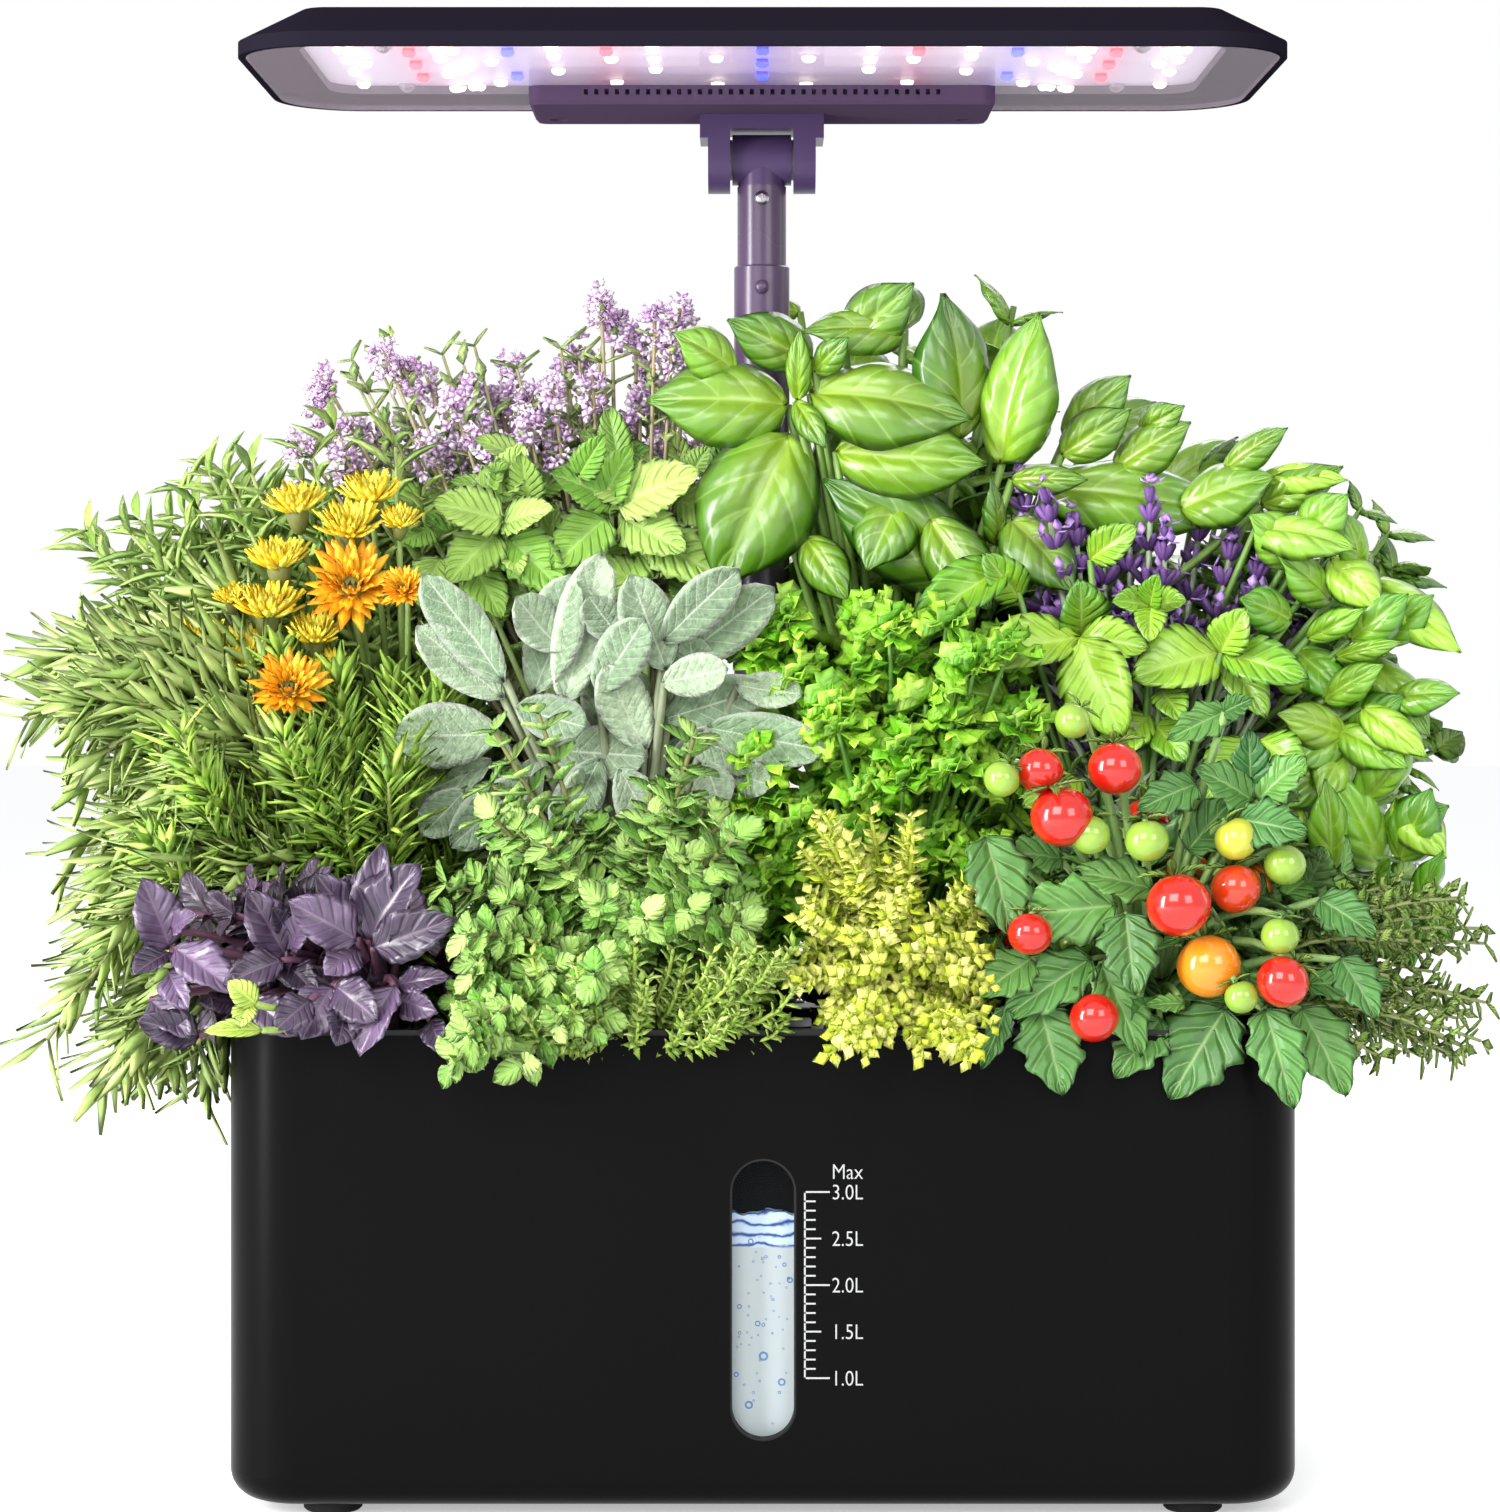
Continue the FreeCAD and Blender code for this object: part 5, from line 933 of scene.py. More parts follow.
parts.append(leafed(small_leaf, leafy, np.linspace(0.3, 1.0, 14), 0.9, (9, 0.6, 1.2, 1.0, 0.0), mm(3.6),
                    (0, -0.2, 0.5), ((0.16, 0.30, 0.05), (0.42, 0.56, 0.16)), draw, 0, 0.5))
parts.append(stem_tubes(leafy, 0.0011, 0.0005, (0.30, 0.32, 0.14)))
thyme_leaf = leaf_finish("thyme_leaf", 0.55, vein=0.25, side_veins=3.0, lean=1.0, quilt=0.2, sheen=0.1)
thyme = grown("flowering_thyme_plant", parts, [thyme_leaf, bark, petal_finish], "flowering_thyme")
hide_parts("flowering_thyme")


# Lemon balm: low heart-shaped leaves with toothed edges, which spread in front of the thyme from
# the same pod.
def toothed(u, v):
    """A heart-shaped leaf: its edge is cut into rounded teeth and its face swells between veins."""
    tooth = 1 + 0.10 * np.abs(v) ** 4 * np.sin(34 * u)
    half = 0.5 * oval(u, 0.34, 0.62) * tooth
    swell = 0.03 * np.abs(np.sin(np.pi * (7 * u - 2.2 * np.abs(v)))) * (1 - v ** 2)
    return u, v * half, swell + 0.10 * np.abs(v) - 0.22 * u ** 2


balm_leaf = leaf_form(14, 6, toothed)
plain_balm_leaf = leaf_form(14, 2, toothed)
BALM = (   # base column and row, tip column and row, width
    (610, 500, 560, 470, 62), (620, 505, 690, 470, 66), (600, 510, 625, 450, 50), (605, 520, 555, 560, 64),
    (625, 520, 680, 545, 62), (500, 520, 440, 500, 58), (505, 525, 545, 505, 50), (495, 535, 450, 575, 60),
    (510, 540, 560, 585, 62), (440, 560, 420, 600, 50), (470, 560, 500, 610, 52), (640, 540, 610, 600, 60),
    (650, 540, 725, 575, 60), (560, 545, 540, 600, 54), (680, 500, 722, 520, 46), (580, 475, 600, 440, 36),
    (480, 500, 500, 465, 44), (530, 500, 520, 460, 44), (430, 530, 400, 540, 44), (650, 590, 600, 560, 46))
BALM_SCALE = 0.28
LOOSE = 70
LOOSE_WINDOW = (LOOSE, (415, 725), (455, 640), (0.022, 0.045))
BALM_STEM = (0.30, 0.42, 0.14)
balm = np.array(BALM, float)
balm_depth = 0.018 + 0.010 * draw.random(len(balm))
balm_base = seen(balm[:, 0], balm[:, 1], balm_depth)
balm_run = seen(balm[:, 2], balm[:, 3], balm_depth - 0.010) - balm_base
face = np.stack([draw.normal(0, 0.25, len(balm)), np.full(len(balm), -1.0),
                 draw.uniform(0.3, 0.8, len(balm))], -1)
parts = [repeated(balm_leaf, balm_base, balm_run, face, np.linalg.norm(balm_run, axis=1) * 1.05,
                  balm[:, 4] * BALM_SCALE / 1000,
                  shades(draw, len(balm), (0.16, 0.38, 0.03), (0.42, 0.62, 0.13), 0.12), 0, 0.3)]
loose = tips_in(draw, (LOOSE_WINDOW,))
loose_run = np.stack([draw.normal(0, 1.0, LOOSE), np.full(LOOSE, -0.35), draw.normal(0.35, 0.8, LOOSE)], -1)
parts.append(repeated(balm_leaf, loose, loose_run, np.broadcast_to((0.1, -1.0, 0.6), loose.shape),
                      mm(15) * draw.uniform(0.6, 1.15, LOOSE), mm(11) * draw.uniform(0.7, 1.1, LOOSE),
                      shades(draw, LOOSE, (0.12, 0.32, 0.025), (0.40, 0.60, 0.13), 0.15), 0, 0.3))
back_twigs = arched(root, spread(draw, 22, (-72, 66, 205), (60, 30, 42), 0.8, -0.5), 0.03, 0.01)
parts.append(leafed(plain_balm_leaf, back_twigs, np.linspace(0.5, 1.0, 4), 1.0, (20, 0.7, 1.1, 1.0, 0.0),
                    mm(14), (0, 0, 0.8), ((0.18, 0.40, 0.06), (0.32, 0.55, 0.12)), draw, 0, 0.3))
parts.append(stem_tubes(back_twigs, 0.0014, 0.0008, BALM_STEM))
parts.append(stem_tubes(arched(root, balm_base, 0.03, 0.01), 0.0014, 0.0009, BALM_STEM))
balm_skin = leaf_finish("balm_leaf", 0.5, vein=0.30, side_veins=7.0, lean=2.2, quilt=0.75, sheen=0.12,
                        pebble=0.15)
grown("lemon_balm_plant", parts, [balm_skin, bark], "flowering_thyme", rooted=False)


# Large basil: broad glossy leaves, cupped and puffed up between their veins, in opposite pairs on
# square stems. It is the tallest plant, and its top leaves spread in front of the pole.
def puffed(u, v):
    """A broad leaf with a pointed tip: the halves rise from the midrib and turn down at the rim,
    swell between four pairs of side veins, and arch along the length."""
    half = 0.5 * np.maximum(np.sin(np.pi * u ** 0.86) ** (0.42 + 0.60 * u), 0.04)
    side = np.abs(v)
    swell = 0.030 * np.abs(np.sin(np.pi * (4 * u - 1.4 * side))) ** 0.7 * np.sqrt(side) * (1 - side ** 4)
    gull = (0.30 * side - 0.40 * side ** 2) * np.sin(np.pi * np.minimum(u + 0.1, 1.0))
    ripple = 0.016 * side ** 3 * np.sin(15 * u + 2.0 * np.sign(v))
    return u, v * half, swell + gull + ripple - 0.34 * u ** 2 + 0.22 * u


def placed(rows, depth, forward, draw, up=0.35, reach=1.10):
    """Leaves chosen in the photograph, as rows of base column and row, tip column and row, and
    width: their base points, directions, faces, lengths and widths, with tips forward of bases."""
    at = np.array(rows, float)
    near = depth + draw.uniform(-0.006, 0.006, len(at))
    base = seen(at[:, 0], at[:, 1], near)
    run = seen(at[:, 2], at[:, 3], near - forward) - base
    face = np.stack([draw.normal(0, 0.2, len(at)), np.full(len(at), -1.0), up + draw.normal(0, 0.2, len(at))],
                    -1)
    width = at[:, 4] * (CAMERA_REACH + near) / FOCAL_PIXELS * 1.12
    return base, run, face, np.linalg.norm(run, axis=1) * reach, width


def viewed(leaf, leaves, tones, twig, root, draw, slot=0, pale=0.35):
    """Leaves that placed has worked out, and a twig from the root to each, given as its lift and
    arch, its thick and thin radius and its colour."""
    lift, arch, thick, thin, colour = twig
    return [repeated(leaf, *leaves, shades(draw, len(leaves[0]), *tones), slot, pale),
            stem_tubes(arched(root, leaves[0], lift, arch), thick, thin, colour)]


basil_leaf = leaf_form(20, 12, puffed, 0.012)
filling_basil_leaf = leaf_form(12, 6, puffed, 0.012)
LARGE_FRONT = (
    (788, 405, 663, 396, 84), (810, 394, 956, 407, 92), (798, 400, 798, 339, 25), (796, 402, 821, 440, 28),
    (789, 434, 725, 570, 110), (836, 452, 970, 461, 76), (977, 581, 841, 489, 88), (806, 538, 842, 592, 45),
    (903, 333, 816, 325, 50), (845, 345, 905, 290, 56), (812, 360, 738, 325, 52), (735, 370, 684, 335, 50),
    (815, 372, 842, 342, 30), (960, 438, 954, 308, 85), (1002, 464, 1027, 327, 80),
    (1044, 489, 1212, 505, 80), (1012, 480, 1078, 478, 30), (995, 545, 996, 486, 24),
    (1065, 440, 1120, 380, 52), (1062, 455, 1122, 415, 46), (1115, 470, 1180, 425, 50),
    (1140, 430, 1178, 410, 30), (1181, 510, 1262, 475, 66), (1225, 470, 1278, 430, 34),
    (1261, 505, 1334, 472, 40), (900, 500, 870, 560, 60), (930, 520, 985, 600, 60),
    (1010, 520, 1070, 580, 70))
LARGE_BACK = ((800, 312, 752, 305, 26), (905, 330, 880, 285, 60), (985, 390, 1000, 320, 70),
              (1090, 440, 1150, 400, 60), (1150, 500, 1230, 440, 60), (880, 400, 830, 350, 70))
POLE_Y = 0.037
draw = np.random.default_rng(51)
root = pod_root("large_basil")
front = placed(LARGE_FRONT, 0.010, 0.010, draw)
behind = placed(LARGE_BACK, 0.060, -0.006, draw, 0.6)
fill_tips = spread(draw, 30, (62, 58, 262), (66, 34, 78), 0.5, -0.7)
fill_tips[:, 0] = np.maximum(fill_tips[:, 0], 0.016)
fill_stems = arched(root, fill_tips, 0.06, 0.015)
spots, along, face, step = around(fill_stems, (0.55, 0.7, 0.85, 0.97), 2, 1.57, 1.0, draw)
clear = (np.abs(spots[:, 0]) > 0.020) | (np.abs(spots[:, 1] - POLE_Y) > 0.022)
size = mm(40) * draw.uniform(0.6, 1.1, clear.sum()) * (1.1 - 0.45 * step[clear])
BASIL_GREEN = ((0.035, 0.16, 0.008), (0.20, 0.42, 0.025), 0.10)
SHOWN_GREEN = ((0.030, 0.135, 0.005), (0.135, 0.31, 0.016), 0.12)
fresh_stem = stem_finish("herb_green_stem", 0.5)
parts = []
for leaves in (front, behind):
    parts += viewed(basil_leaf, leaves, SHOWN_GREEN, (0.07, 0.02, 0.0019, 0.0012, (0.18, 0.32, 0.06)),
                    root, draw)
wide = size * draw.uniform(0.55, 0.75, len(size))
parts.append(repeated(filling_basil_leaf, spots[clear], along[clear], face[clear] + (0, -0.2, 0.9),
                      size, wide, shades(draw, len(size), *BASIL_GREEN), 0, 0.35))
parts.append(stem_tubes(fill_stems, 0.0020, 0.0010, (0.14, 0.26, 0.05)))
basil_skin = leaf_finish("basil_leaf", 0.36, vein=0.34, vein_colour=(0.50, 0.70, 0.20), side_veins=4.0,
                         lean=1.4, quilt=0.5, specular=0.5, pebble=0.04, mottle=0.16, coat=0.5, heart=0.45)
large = grown("large_basil_plant", parts, [basil_skin, fresh_stem], "large_basil")
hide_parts("large_basil")

# Bush basil: the same broad leaf, smaller and paler, on stems that lean out past the tank's
# right end from the back row.
BUSH = (
    (1370, 583, 1450, 645, 45), (1368, 660, 1425, 725, 48), (1362, 708, 1420, 748, 38),
    (1362, 800, 1408, 750, 46), (1324, 700, 1374, 668, 34), (1308, 638, 1356, 614, 28),
    (1360, 570, 1350, 520, 34), (1336, 658, 1392, 642, 22), (1330, 870, 1330, 792, 40),
    (1380, 868, 1345, 785, 60), (1400, 860, 1425, 798, 52), (1415, 900, 1440, 860, 26),
    (1361, 889, 1290, 945, 78), (1375, 885, 1410, 960, 58), (1380, 885, 1385, 862, 22),
    (1430, 938, 1450, 910, 26), (1330, 600, 1290, 560, 44), (1350, 640, 1400, 600, 44),
    (1345, 720, 1300, 760, 50), (1300, 690, 1265, 640, 40), (1390, 700, 1450, 690, 40),
    (1340, 760, 1290, 800, 46), (1300, 540, 1340, 500, 48), (1300, 560, 1260, 520, 50),
    (1330, 560, 1375, 600, 46), (1255, 530, 1345, 540, 50), (1262, 478, 1337, 475, 34),
    (1340, 730, 1400, 760, 46), (1345, 735, 1290, 715, 44), (1345, 735, 1395, 700, 42),
    (1345, 740, 1325, 790, 46), (1395, 800, 1440, 850, 44), (1300, 800, 1275, 850, 40),
    (1385, 830, 1440, 810, 44), (1320, 900, 1380, 950, 44), (1420, 880, 1450, 930, 40),
    (1290, 620, 1250, 600, 44), (1295, 650, 1340, 690, 46), (1380, 640, 1425, 600, 40),
    (1280, 880, 1310, 940, 46))
BUSH_WINDOWS = ((16, (1290, 1440), (560, 860), (0.0, 0.05)), (12, (1200, 1400), (440, 600), (0.01, 0.06)))
small_basil_leaf = leaf_form(8, 4, puffed, 0.012)
draw = np.random.default_rng(63)
root = pod_root("bush_basil")
parts = viewed(basil_leaf, placed(BUSH, 0.000, 0.012, draw), ((0.07, 0.28, 0.010), (0.32, 0.56, 0.05), 0.12),
               (0.05, 0.02, 0.0014, 0.0009, (0.18, 0.34, 0.07)), root, draw)
cloud_tips = spread(draw, 40, (142, 50, 205), (66, 44, 92), 0.5, -0.75)
fill_stems = arched(root, np.concatenate([cloud_tips, tips_in(draw, BUSH_WINDOWS)]), 0.05, 0.012)
parts.append(leafed(small_basil_leaf, fill_stems, (0.4, 0.54, 0.66, 0.78, 0.9, 0.99), 1.0,
                    (24, 0.6, 1.15, 1.1, 0.45), (0.6, 0.78), (0, -0.3, 0.7), BASIL_GREEN, draw))
parts.append(stem_tubes(fill_stems, 0.0014, 0.0008, (0.16, 0.30, 0.06)))
bush = grown("bush_basil_plant", parts, [basil_skin, fresh_stem], "bush_basil")
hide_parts("bush_basil")


# Sage: long soft leaves, grey-green with a pale rim and a pebbled, felted face, standing up round
# the tips of short woody stems in the middle row.
def felted(u, v):
    """A long oval leaf whose halves rise from the midrib, wavy along its length and at its edge."""
    wave = 0.03 * np.cos(2.2 * np.pi * u) + 0.012 * np.sin(14 * u + 3 * v)
    return u, 0.5 * v * oval(u, 0.54, 0.50, 0.07), 0.05 * np.abs(v) + wave - 0.10 * u ** 2


sage_leaf = leaf_form(12, 6, felted, 0.02)
SAGE = (
    (505, 680, 427, 582, 48), (502, 697, 422, 631, 46), (537, 693, 568, 582, 56), (565, 703, 599, 562, 54),
    (666, 669, 633, 581, 50), (664, 640, 734, 574, 46), (676, 663, 768, 593, 52), (598, 690, 641, 624, 48),
    (644, 748, 608, 670, 50), (664, 683, 723, 669, 40), (662, 720, 762, 689, 46), (737, 686, 798, 693, 34),
    (709, 728, 818, 749, 48), (689, 736, 756, 762, 44), (549, 750, 641, 756, 50), (518, 708, 582, 725, 44),
    (498, 734, 401, 736, 60), (492, 765, 343, 818, 54), (529, 778, 456, 843, 48), (706, 764, 720, 807, 40),
    (728, 773, 768, 784, 34), (464, 792, 425, 832, 40), (600, 760, 560, 830, 46), (620, 770, 660, 840, 46),
    (540, 760, 500, 830, 44), (560, 650, 520, 600, 44), (620, 640, 590, 600, 40), (700, 700, 690, 640, 40))
GREY_GREEN = ((0.19, 0.28, 0.165), (0.37, 0.47, 0.31))
draw = np.random.default_rng(71)
root = pod_root("sage")
parts = viewed(sage_leaf, placed(SAGE, -0.020, 0.008, draw, 0.2, 1.06), (*GREY_GREEN, 0.08),
               (0.03, 0.01, 0.0019, 0.0012, (0.26, 0.30, 0.18)), root, draw, 0, 0.5)
fill_stems = arched(root, spread(draw, 34, (-36, 4, 160), (44, 30, 60), 0.45, -0.6), 0.03, 0.01)
parts.append(leafed(sage_leaf, fill_stems, (0.6, 0.75, 0.88, 0.98), 0.8, (30, 0.6, 1.15, 1.1, 0.4), 0.36,
                    (0, 0, 0.3), (*GREY_GREEN, 0.10), draw, 0, 0.5))
parts.append(stem_tubes(fill_stems, 0.0016, 0.0010, (0.22, 0.26, 0.16)))
sage_skin = leaf_finish("sage_leaf", 0.75, vein=0.50, vein_colour=(0.74, 0.80, 0.66), side_veins=7.0,
                        lean=1.8, quilt=0.45, sheen=0.35, pebble=2.4, specular=0.2, mottle=0.26, rim=0.9,
                        patch_size=620.0)
sage = grown("sage_plant", parts, [sage_skin, bark], "sage")
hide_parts("sage")


# Curled parsley: many bright green leaflets with ruffled edges, crowded at the ends of bare green
# stalks into moss-like heads.
def frill(u, v):
    """A fan-shaped leaflet whose edge is gathered: the rim rises and falls more and more towards
    its end, and its outline is cut into lobes."""
    turn = 1.25 * v
    reach = u * (1 - 0.16 * np.abs(np.sin(2.5 * np.pi * v)) * u)
    return reach * np.cos(turn), reach * np.sin(turn), 0.17 * u ** 1.5 * np.sin(3 * np.pi * v + 0.6)


PARSLEY_WINDOWS = ((54, (745, 1040), (620, 870), (-0.034, 0.005)),
                   (14, (730, 840), (830, 980), (-0.035, -0.010)))
FRILLS = 15
draw = np.random.default_rng(83)
root = pod_root("parsley")
heads = tips_in(draw, PARSLEY_WINDOWS, (30, (40, 6, 168), (42, 32, 60), 0.5, -0.6))
way = unit(draw.normal(0, 1, (len(heads), FRILLS, 3)) + (0, -0.25, 0.55))
spots = (heads[:, None] + way * mm(4.5) * draw.random((len(heads), FRILLS, 1))).reshape(-1, 3)
along = way.reshape(-1, 3)
face = unit(np.cross(along, (0.3, 0.9, 0.2))) * 0.6 + (0, -0.3, 0.8)
size = mm(8.5) * draw.uniform(0.65, 1.15, len(spots))
parts = [repeated(leaf_form(3, 10, frill, 0.03), spots, along, face, size, size,
                  shades(draw, len(spots), (0.16, 0.52, 0.010), (0.56, 0.92, 0.08), 0.14), 0, 0.3),
         stem_tubes(arched(root, heads, 0.03, 0.01), 0.0012, 0.0007, (0.14, 0.32, 0.05))]
parsley_skin = leaf_finish("parsley_leaf", 0.42, vein=0.15, side_veins=4.0, lean=1.0, quilt=0.3, mottle=0.2)
parsley = grown("parsley_plant", parts, [parsley_skin, fresh_stem], "parsley")
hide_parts("parsley")


# Lavender: thin bare stalks that end in spikes, each a stack of whorls of violet cups with a few
# open lilac flowers, over narrow grey leaves; small ribbed basil rosettes fill the same pod.
def ribbed(u, v):
    """An oval leaf, folded and arched, that swells between seven pairs of side veins."""
    swell = 0.03 * np.abs(np.sin(np.pi * (7 * u - 2 * np.abs(v)))) * (1 - v ** 2)
    fold = 0.16 * np.abs(v) * np.sin(np.pi * u) - 0.22 * u ** 2 + 0.10 * u
    return u, 0.5 * v * oval(u, 0.45, 0.65, 0.05), swell + fold


SPIKES = ((1022, 510), (1075, 545), (1130, 545), (1200, 540), (1260, 580), (1300, 650), (1048, 520),
          (1165, 560), (1232, 560), (1100, 520), (1290, 610), (1150, 520))
SPIKE_RISE = 14
WHORLS = (0.78, 0.85, 0.92, 0.97, 1.0)
WHORL_LEAN = (1.0, 0.85, 0.7, 0.5, 0.25)
spike_at = np.array(SPIKES, float)
draw = np.random.default_rng(97)
root = pod_root("lavender")
spike_tips = seen(spike_at[:, 0], spike_at[:, 1] - SPIKE_RISE, draw.uniform(0.0, 0.02, len(spike_at)))
tips = np.concatenate([spike_tips, spread(draw, 7, (105, 22, 215), (52, 28, 50), 0.5, 0.1)])
stalks = arched(root, tips, 0.06, 0.0)
bud = turned_form((0.0, 0.4, 0.85, 1.0), (0.07, 0.17, 0.15, 0.04), 4)
spots, along, face, step = around(stalks, WHORLS, 7, 0.45, WHORL_LEAN, draw, 0.15)
parts = [repeated(bud, spots, along, face, mm(7.4) * (1.1 - 0.3 * step), mm(7.4),
                  shades(draw, len(spots), (0.045, 0.014, 0.095), (0.24, 0.11, 0.38), 0.15), 2)]
open_now = draw.random(len(spots)) < 0.40
ends = spots[open_now] + unit(along[open_now]) * mm(6.6)
for way in (1, -1):
    parts.append(repeated(floret, ends, way * face[open_now] + 0.5 * along[open_now], along[open_now],
                          mm(3.8), mm(3.4),
                          shades(draw, len(ends), (0.40, 0.20, 0.68), (0.70, 0.48, 0.92), 0.1), 2))
parts.append(leafed(lance_leaf, stalks, np.linspace(0.15, 0.62, 9), 0.6, mm(26), mm(2.6), 0,
                    ((0.22, 0.32, 0.18), (0.42, 0.50, 0.34)), draw, 0, 0.4))
parts.append(stem_tubes(stalks, 0.0013, 0.0009, (0.34, 0.42, 0.26)))
ROSETTES = (
    (1010, 565, 920, 620, 50), (1080, 638, 980, 657, 52), (1080, 638, 1082, 588, 52),
    (1080, 638, 1140, 645, 42), (1080, 638, 1116, 727, 68), (1221, 653, 1143, 672, 65),
    (1221, 653, 1241, 615, 40), (1221, 653, 1299, 674, 45), (1221, 653, 1263, 708, 40),
    (1151, 607, 1120, 600, 30), (1151, 607, 1180, 600, 30), (1151, 607, 1150, 635, 30),
    (1151, 607, 1155, 580, 26), (1160, 690, 1180, 715, 34), (1150, 715, 1105, 755, 42),
    (1150, 720, 1182, 755, 40), (1010, 700, 960, 690, 40), (1040, 700, 1010, 750, 44),
    (1260, 740, 1300, 770, 44), (1250, 740, 1210, 790, 48), (1080, 780, 1030, 800, 44),
    (1090, 560, 1130, 530, 36), (1020, 600, 990, 560, 40), (1180, 790, 1150, 830, 40))
ribbed_leaf = leaf_form(12, 6, ribbed, 0.015)
parts += viewed(ribbed_leaf, placed(ROSETTES, -0.012, 0.010, draw),
                ((0.10, 0.33, 0.010), (0.34, 0.60, 0.05), 0.10),
                (0.03, 0.01, 0.0013, 0.0009, (0.18, 0.34, 0.07)), root, draw, 3, 0.3)
fill_stems = arched(root, spread(draw, 44, (104, 2, 165), (60, 34, 56), 0.5, -0.7), 0.03, 0.01)
parts.append(leafed(ribbed_leaf, fill_stems, (0.6, 0.8, 0.97), 1.0, (21, 0.6, 1.15, 1.1, 0.4), 0.6,
                    (0, -0.1, 0.8), ((0.10, 0.30, 0.012), (0.32, 0.56, 0.05), 0.12), draw, 3, 0.3))
parts.append(stem_tubes(fill_stems, 0.0013, 0.0008, (0.16, 0.30, 0.06)))
lavender_skin = leaf_finish("lavender_leaf", 0.7, vein=0.2, side_veins=0.0, lean=0.0, quilt=0.2, sheen=0.3)
ribbed_skin = leaf_finish("ribbed_leaf", 0.36, vein=0.35, side_veins=6.0, lean=2.0, quilt=0.7, mottle=0.2,
                          coat=0.4, heart=0.5)
lavender = grown("lavender_plant", parts, [lavender_skin, fresh_stem, petal_finish, ribbed_skin], "lavender")
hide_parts("lavender")


# Purple basil: smooth dark leaves with fine teeth, in crossed pairs round short stems, along the
# front left rim. One small lime-green shoot grows through it.
def fine_toothed(u, v):
    """A broad pointed leaf with a finely cut rim, folded a little along its midrib and wavy at its
    edges."""
    half = 0.5 * oval(u, 0.44, 0.62, 0.05) * (1 + 0.05 * np.abs(v) ** 3 * np.sin(38 * u))
    wave = 0.045 * np.abs(v) ** 2 * np.sin(13 * u + 2 * np.sign(v))
    return u, v * half, wave + 0.14 * np.abs(v) * np.sin(np.pi * u) - 0.20 * u ** 2 + 0.08 * u


PURPLE = (
    (170, 948, 147, 888, 48), (174, 948, 228, 983, 42), (170, 952, 137, 969, 32), (168, 972, 184, 1004, 30),
    (199, 1036, 145, 1022, 36), (286, 956, 254, 899, 46), (290, 952, 308, 908, 34),
    (282, 960, 231, 980, 34), (286, 964, 312, 988, 32), (357, 940, 298, 905, 48), (361, 935, 323, 881, 40),
    (366, 938, 379, 856, 38), (369, 940, 408, 872, 56), (373, 948, 443, 922, 46), (357, 948, 330, 970, 36),
    (332, 986, 306, 1032, 46), (336, 986, 371, 1015, 42), (394, 985, 360, 1046, 44),
    (398, 985, 441, 976, 24), (430, 1020, 441, 1048, 26), (400, 1000, 430, 1010, 30),
    (255, 1000, 290, 1030, 34), (310, 1000, 280, 1025, 34), (345, 1010, 340, 1040, 34),
    (345, 905, 350, 880, 26), (285, 930, 276, 912, 22), (172, 930, 190, 915, 24),
    (150, 1000, 185, 1030, 34))
PURPLE_WINDOW = (9, (150, 440), (900, 1010), (-0.075, -0.045))
LIME = ((256, 1004, 232, 984, 26), (250, 1004, 240, 1024, 24), (262, 1030, 210, 1030, 18))
PLUM_STEM = (0.12, 0.045, 0.08)
purple_leaf = leaf_form(14, 6, fine_toothed, 0.02)
draw = np.random.default_rng(101)
root = pod_root("purple_basil")
parts = viewed(purple_leaf, placed(PURPLE, -0.078, 0.008, draw, 0.4),
               ((0.026, 0.016, 0.038), (0.15, 0.095, 0.18), 0.15),
               (0.02, 0.010, 0.0017, 0.0010, PLUM_STEM), root, draw, 0, 0.0)
tips = tips_in(draw, (PURPLE_WINDOW,), (14, (-118, -50, 146), (58, 30, 26), 0.4, -0.3))
stalks = arched(root, tips, 0.02, 0.012)
# The fill leaves, behind the front ones, are coloured darker: painted shade.
parts.append(leafed(purple_leaf, stalks, (0.70, 0.86, 1.0), (1.3, 1.1, 0.8), (17, 0.7, 1.15, 1.15, 0.5), 0.68,
                    (0, -0.3, 0.6), ((0.018, 0.010, 0.024), (0.09, 0.05, 0.10), 0.15), draw, 0, 0.0,
                    wobble=0.2))
parts.append(stem_tubes(stalks, 0.0017, 0.0010, PLUM_STEM))
parts += viewed(ribbed_leaf, placed(LIME, -0.092, 0.004, draw), ((0.42, 0.60, 0.08), (0.50, 0.66, 0.14)),
                (0.02, 0.0, 0.0012, 0.0009, (0.36, 0.50, 0.12)), root, draw, 2, 0.3)
purple_skin = leaf_finish("purple_leaf", 0.40, vein=0.35, vein_colour=(0.30, 0.16, 0.26), side_veins=6.0,
                          lean=1.8, quilt=0.55, specular=0.5, pebble=0.1, mottle=0.35, coat=0.4)
purple = grown("purple_basil_plant", parts, [purple_skin, bark, ribbed_skin], "purple_basil")
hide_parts("purple_basil")


# Oregano: small oval leaves in crossed pairs on thin reddish stems that spill over the rim, with
# low creeping thyme at their foot.
def oval_shape(u, v):
    """A short oval leaf, folded along its midrib and arched down."""
    return u, 0.5 * v * oval(u, 0.42, 0.6, 0.05), 0.12 * np.abs(v) - 0.16 * u ** 2


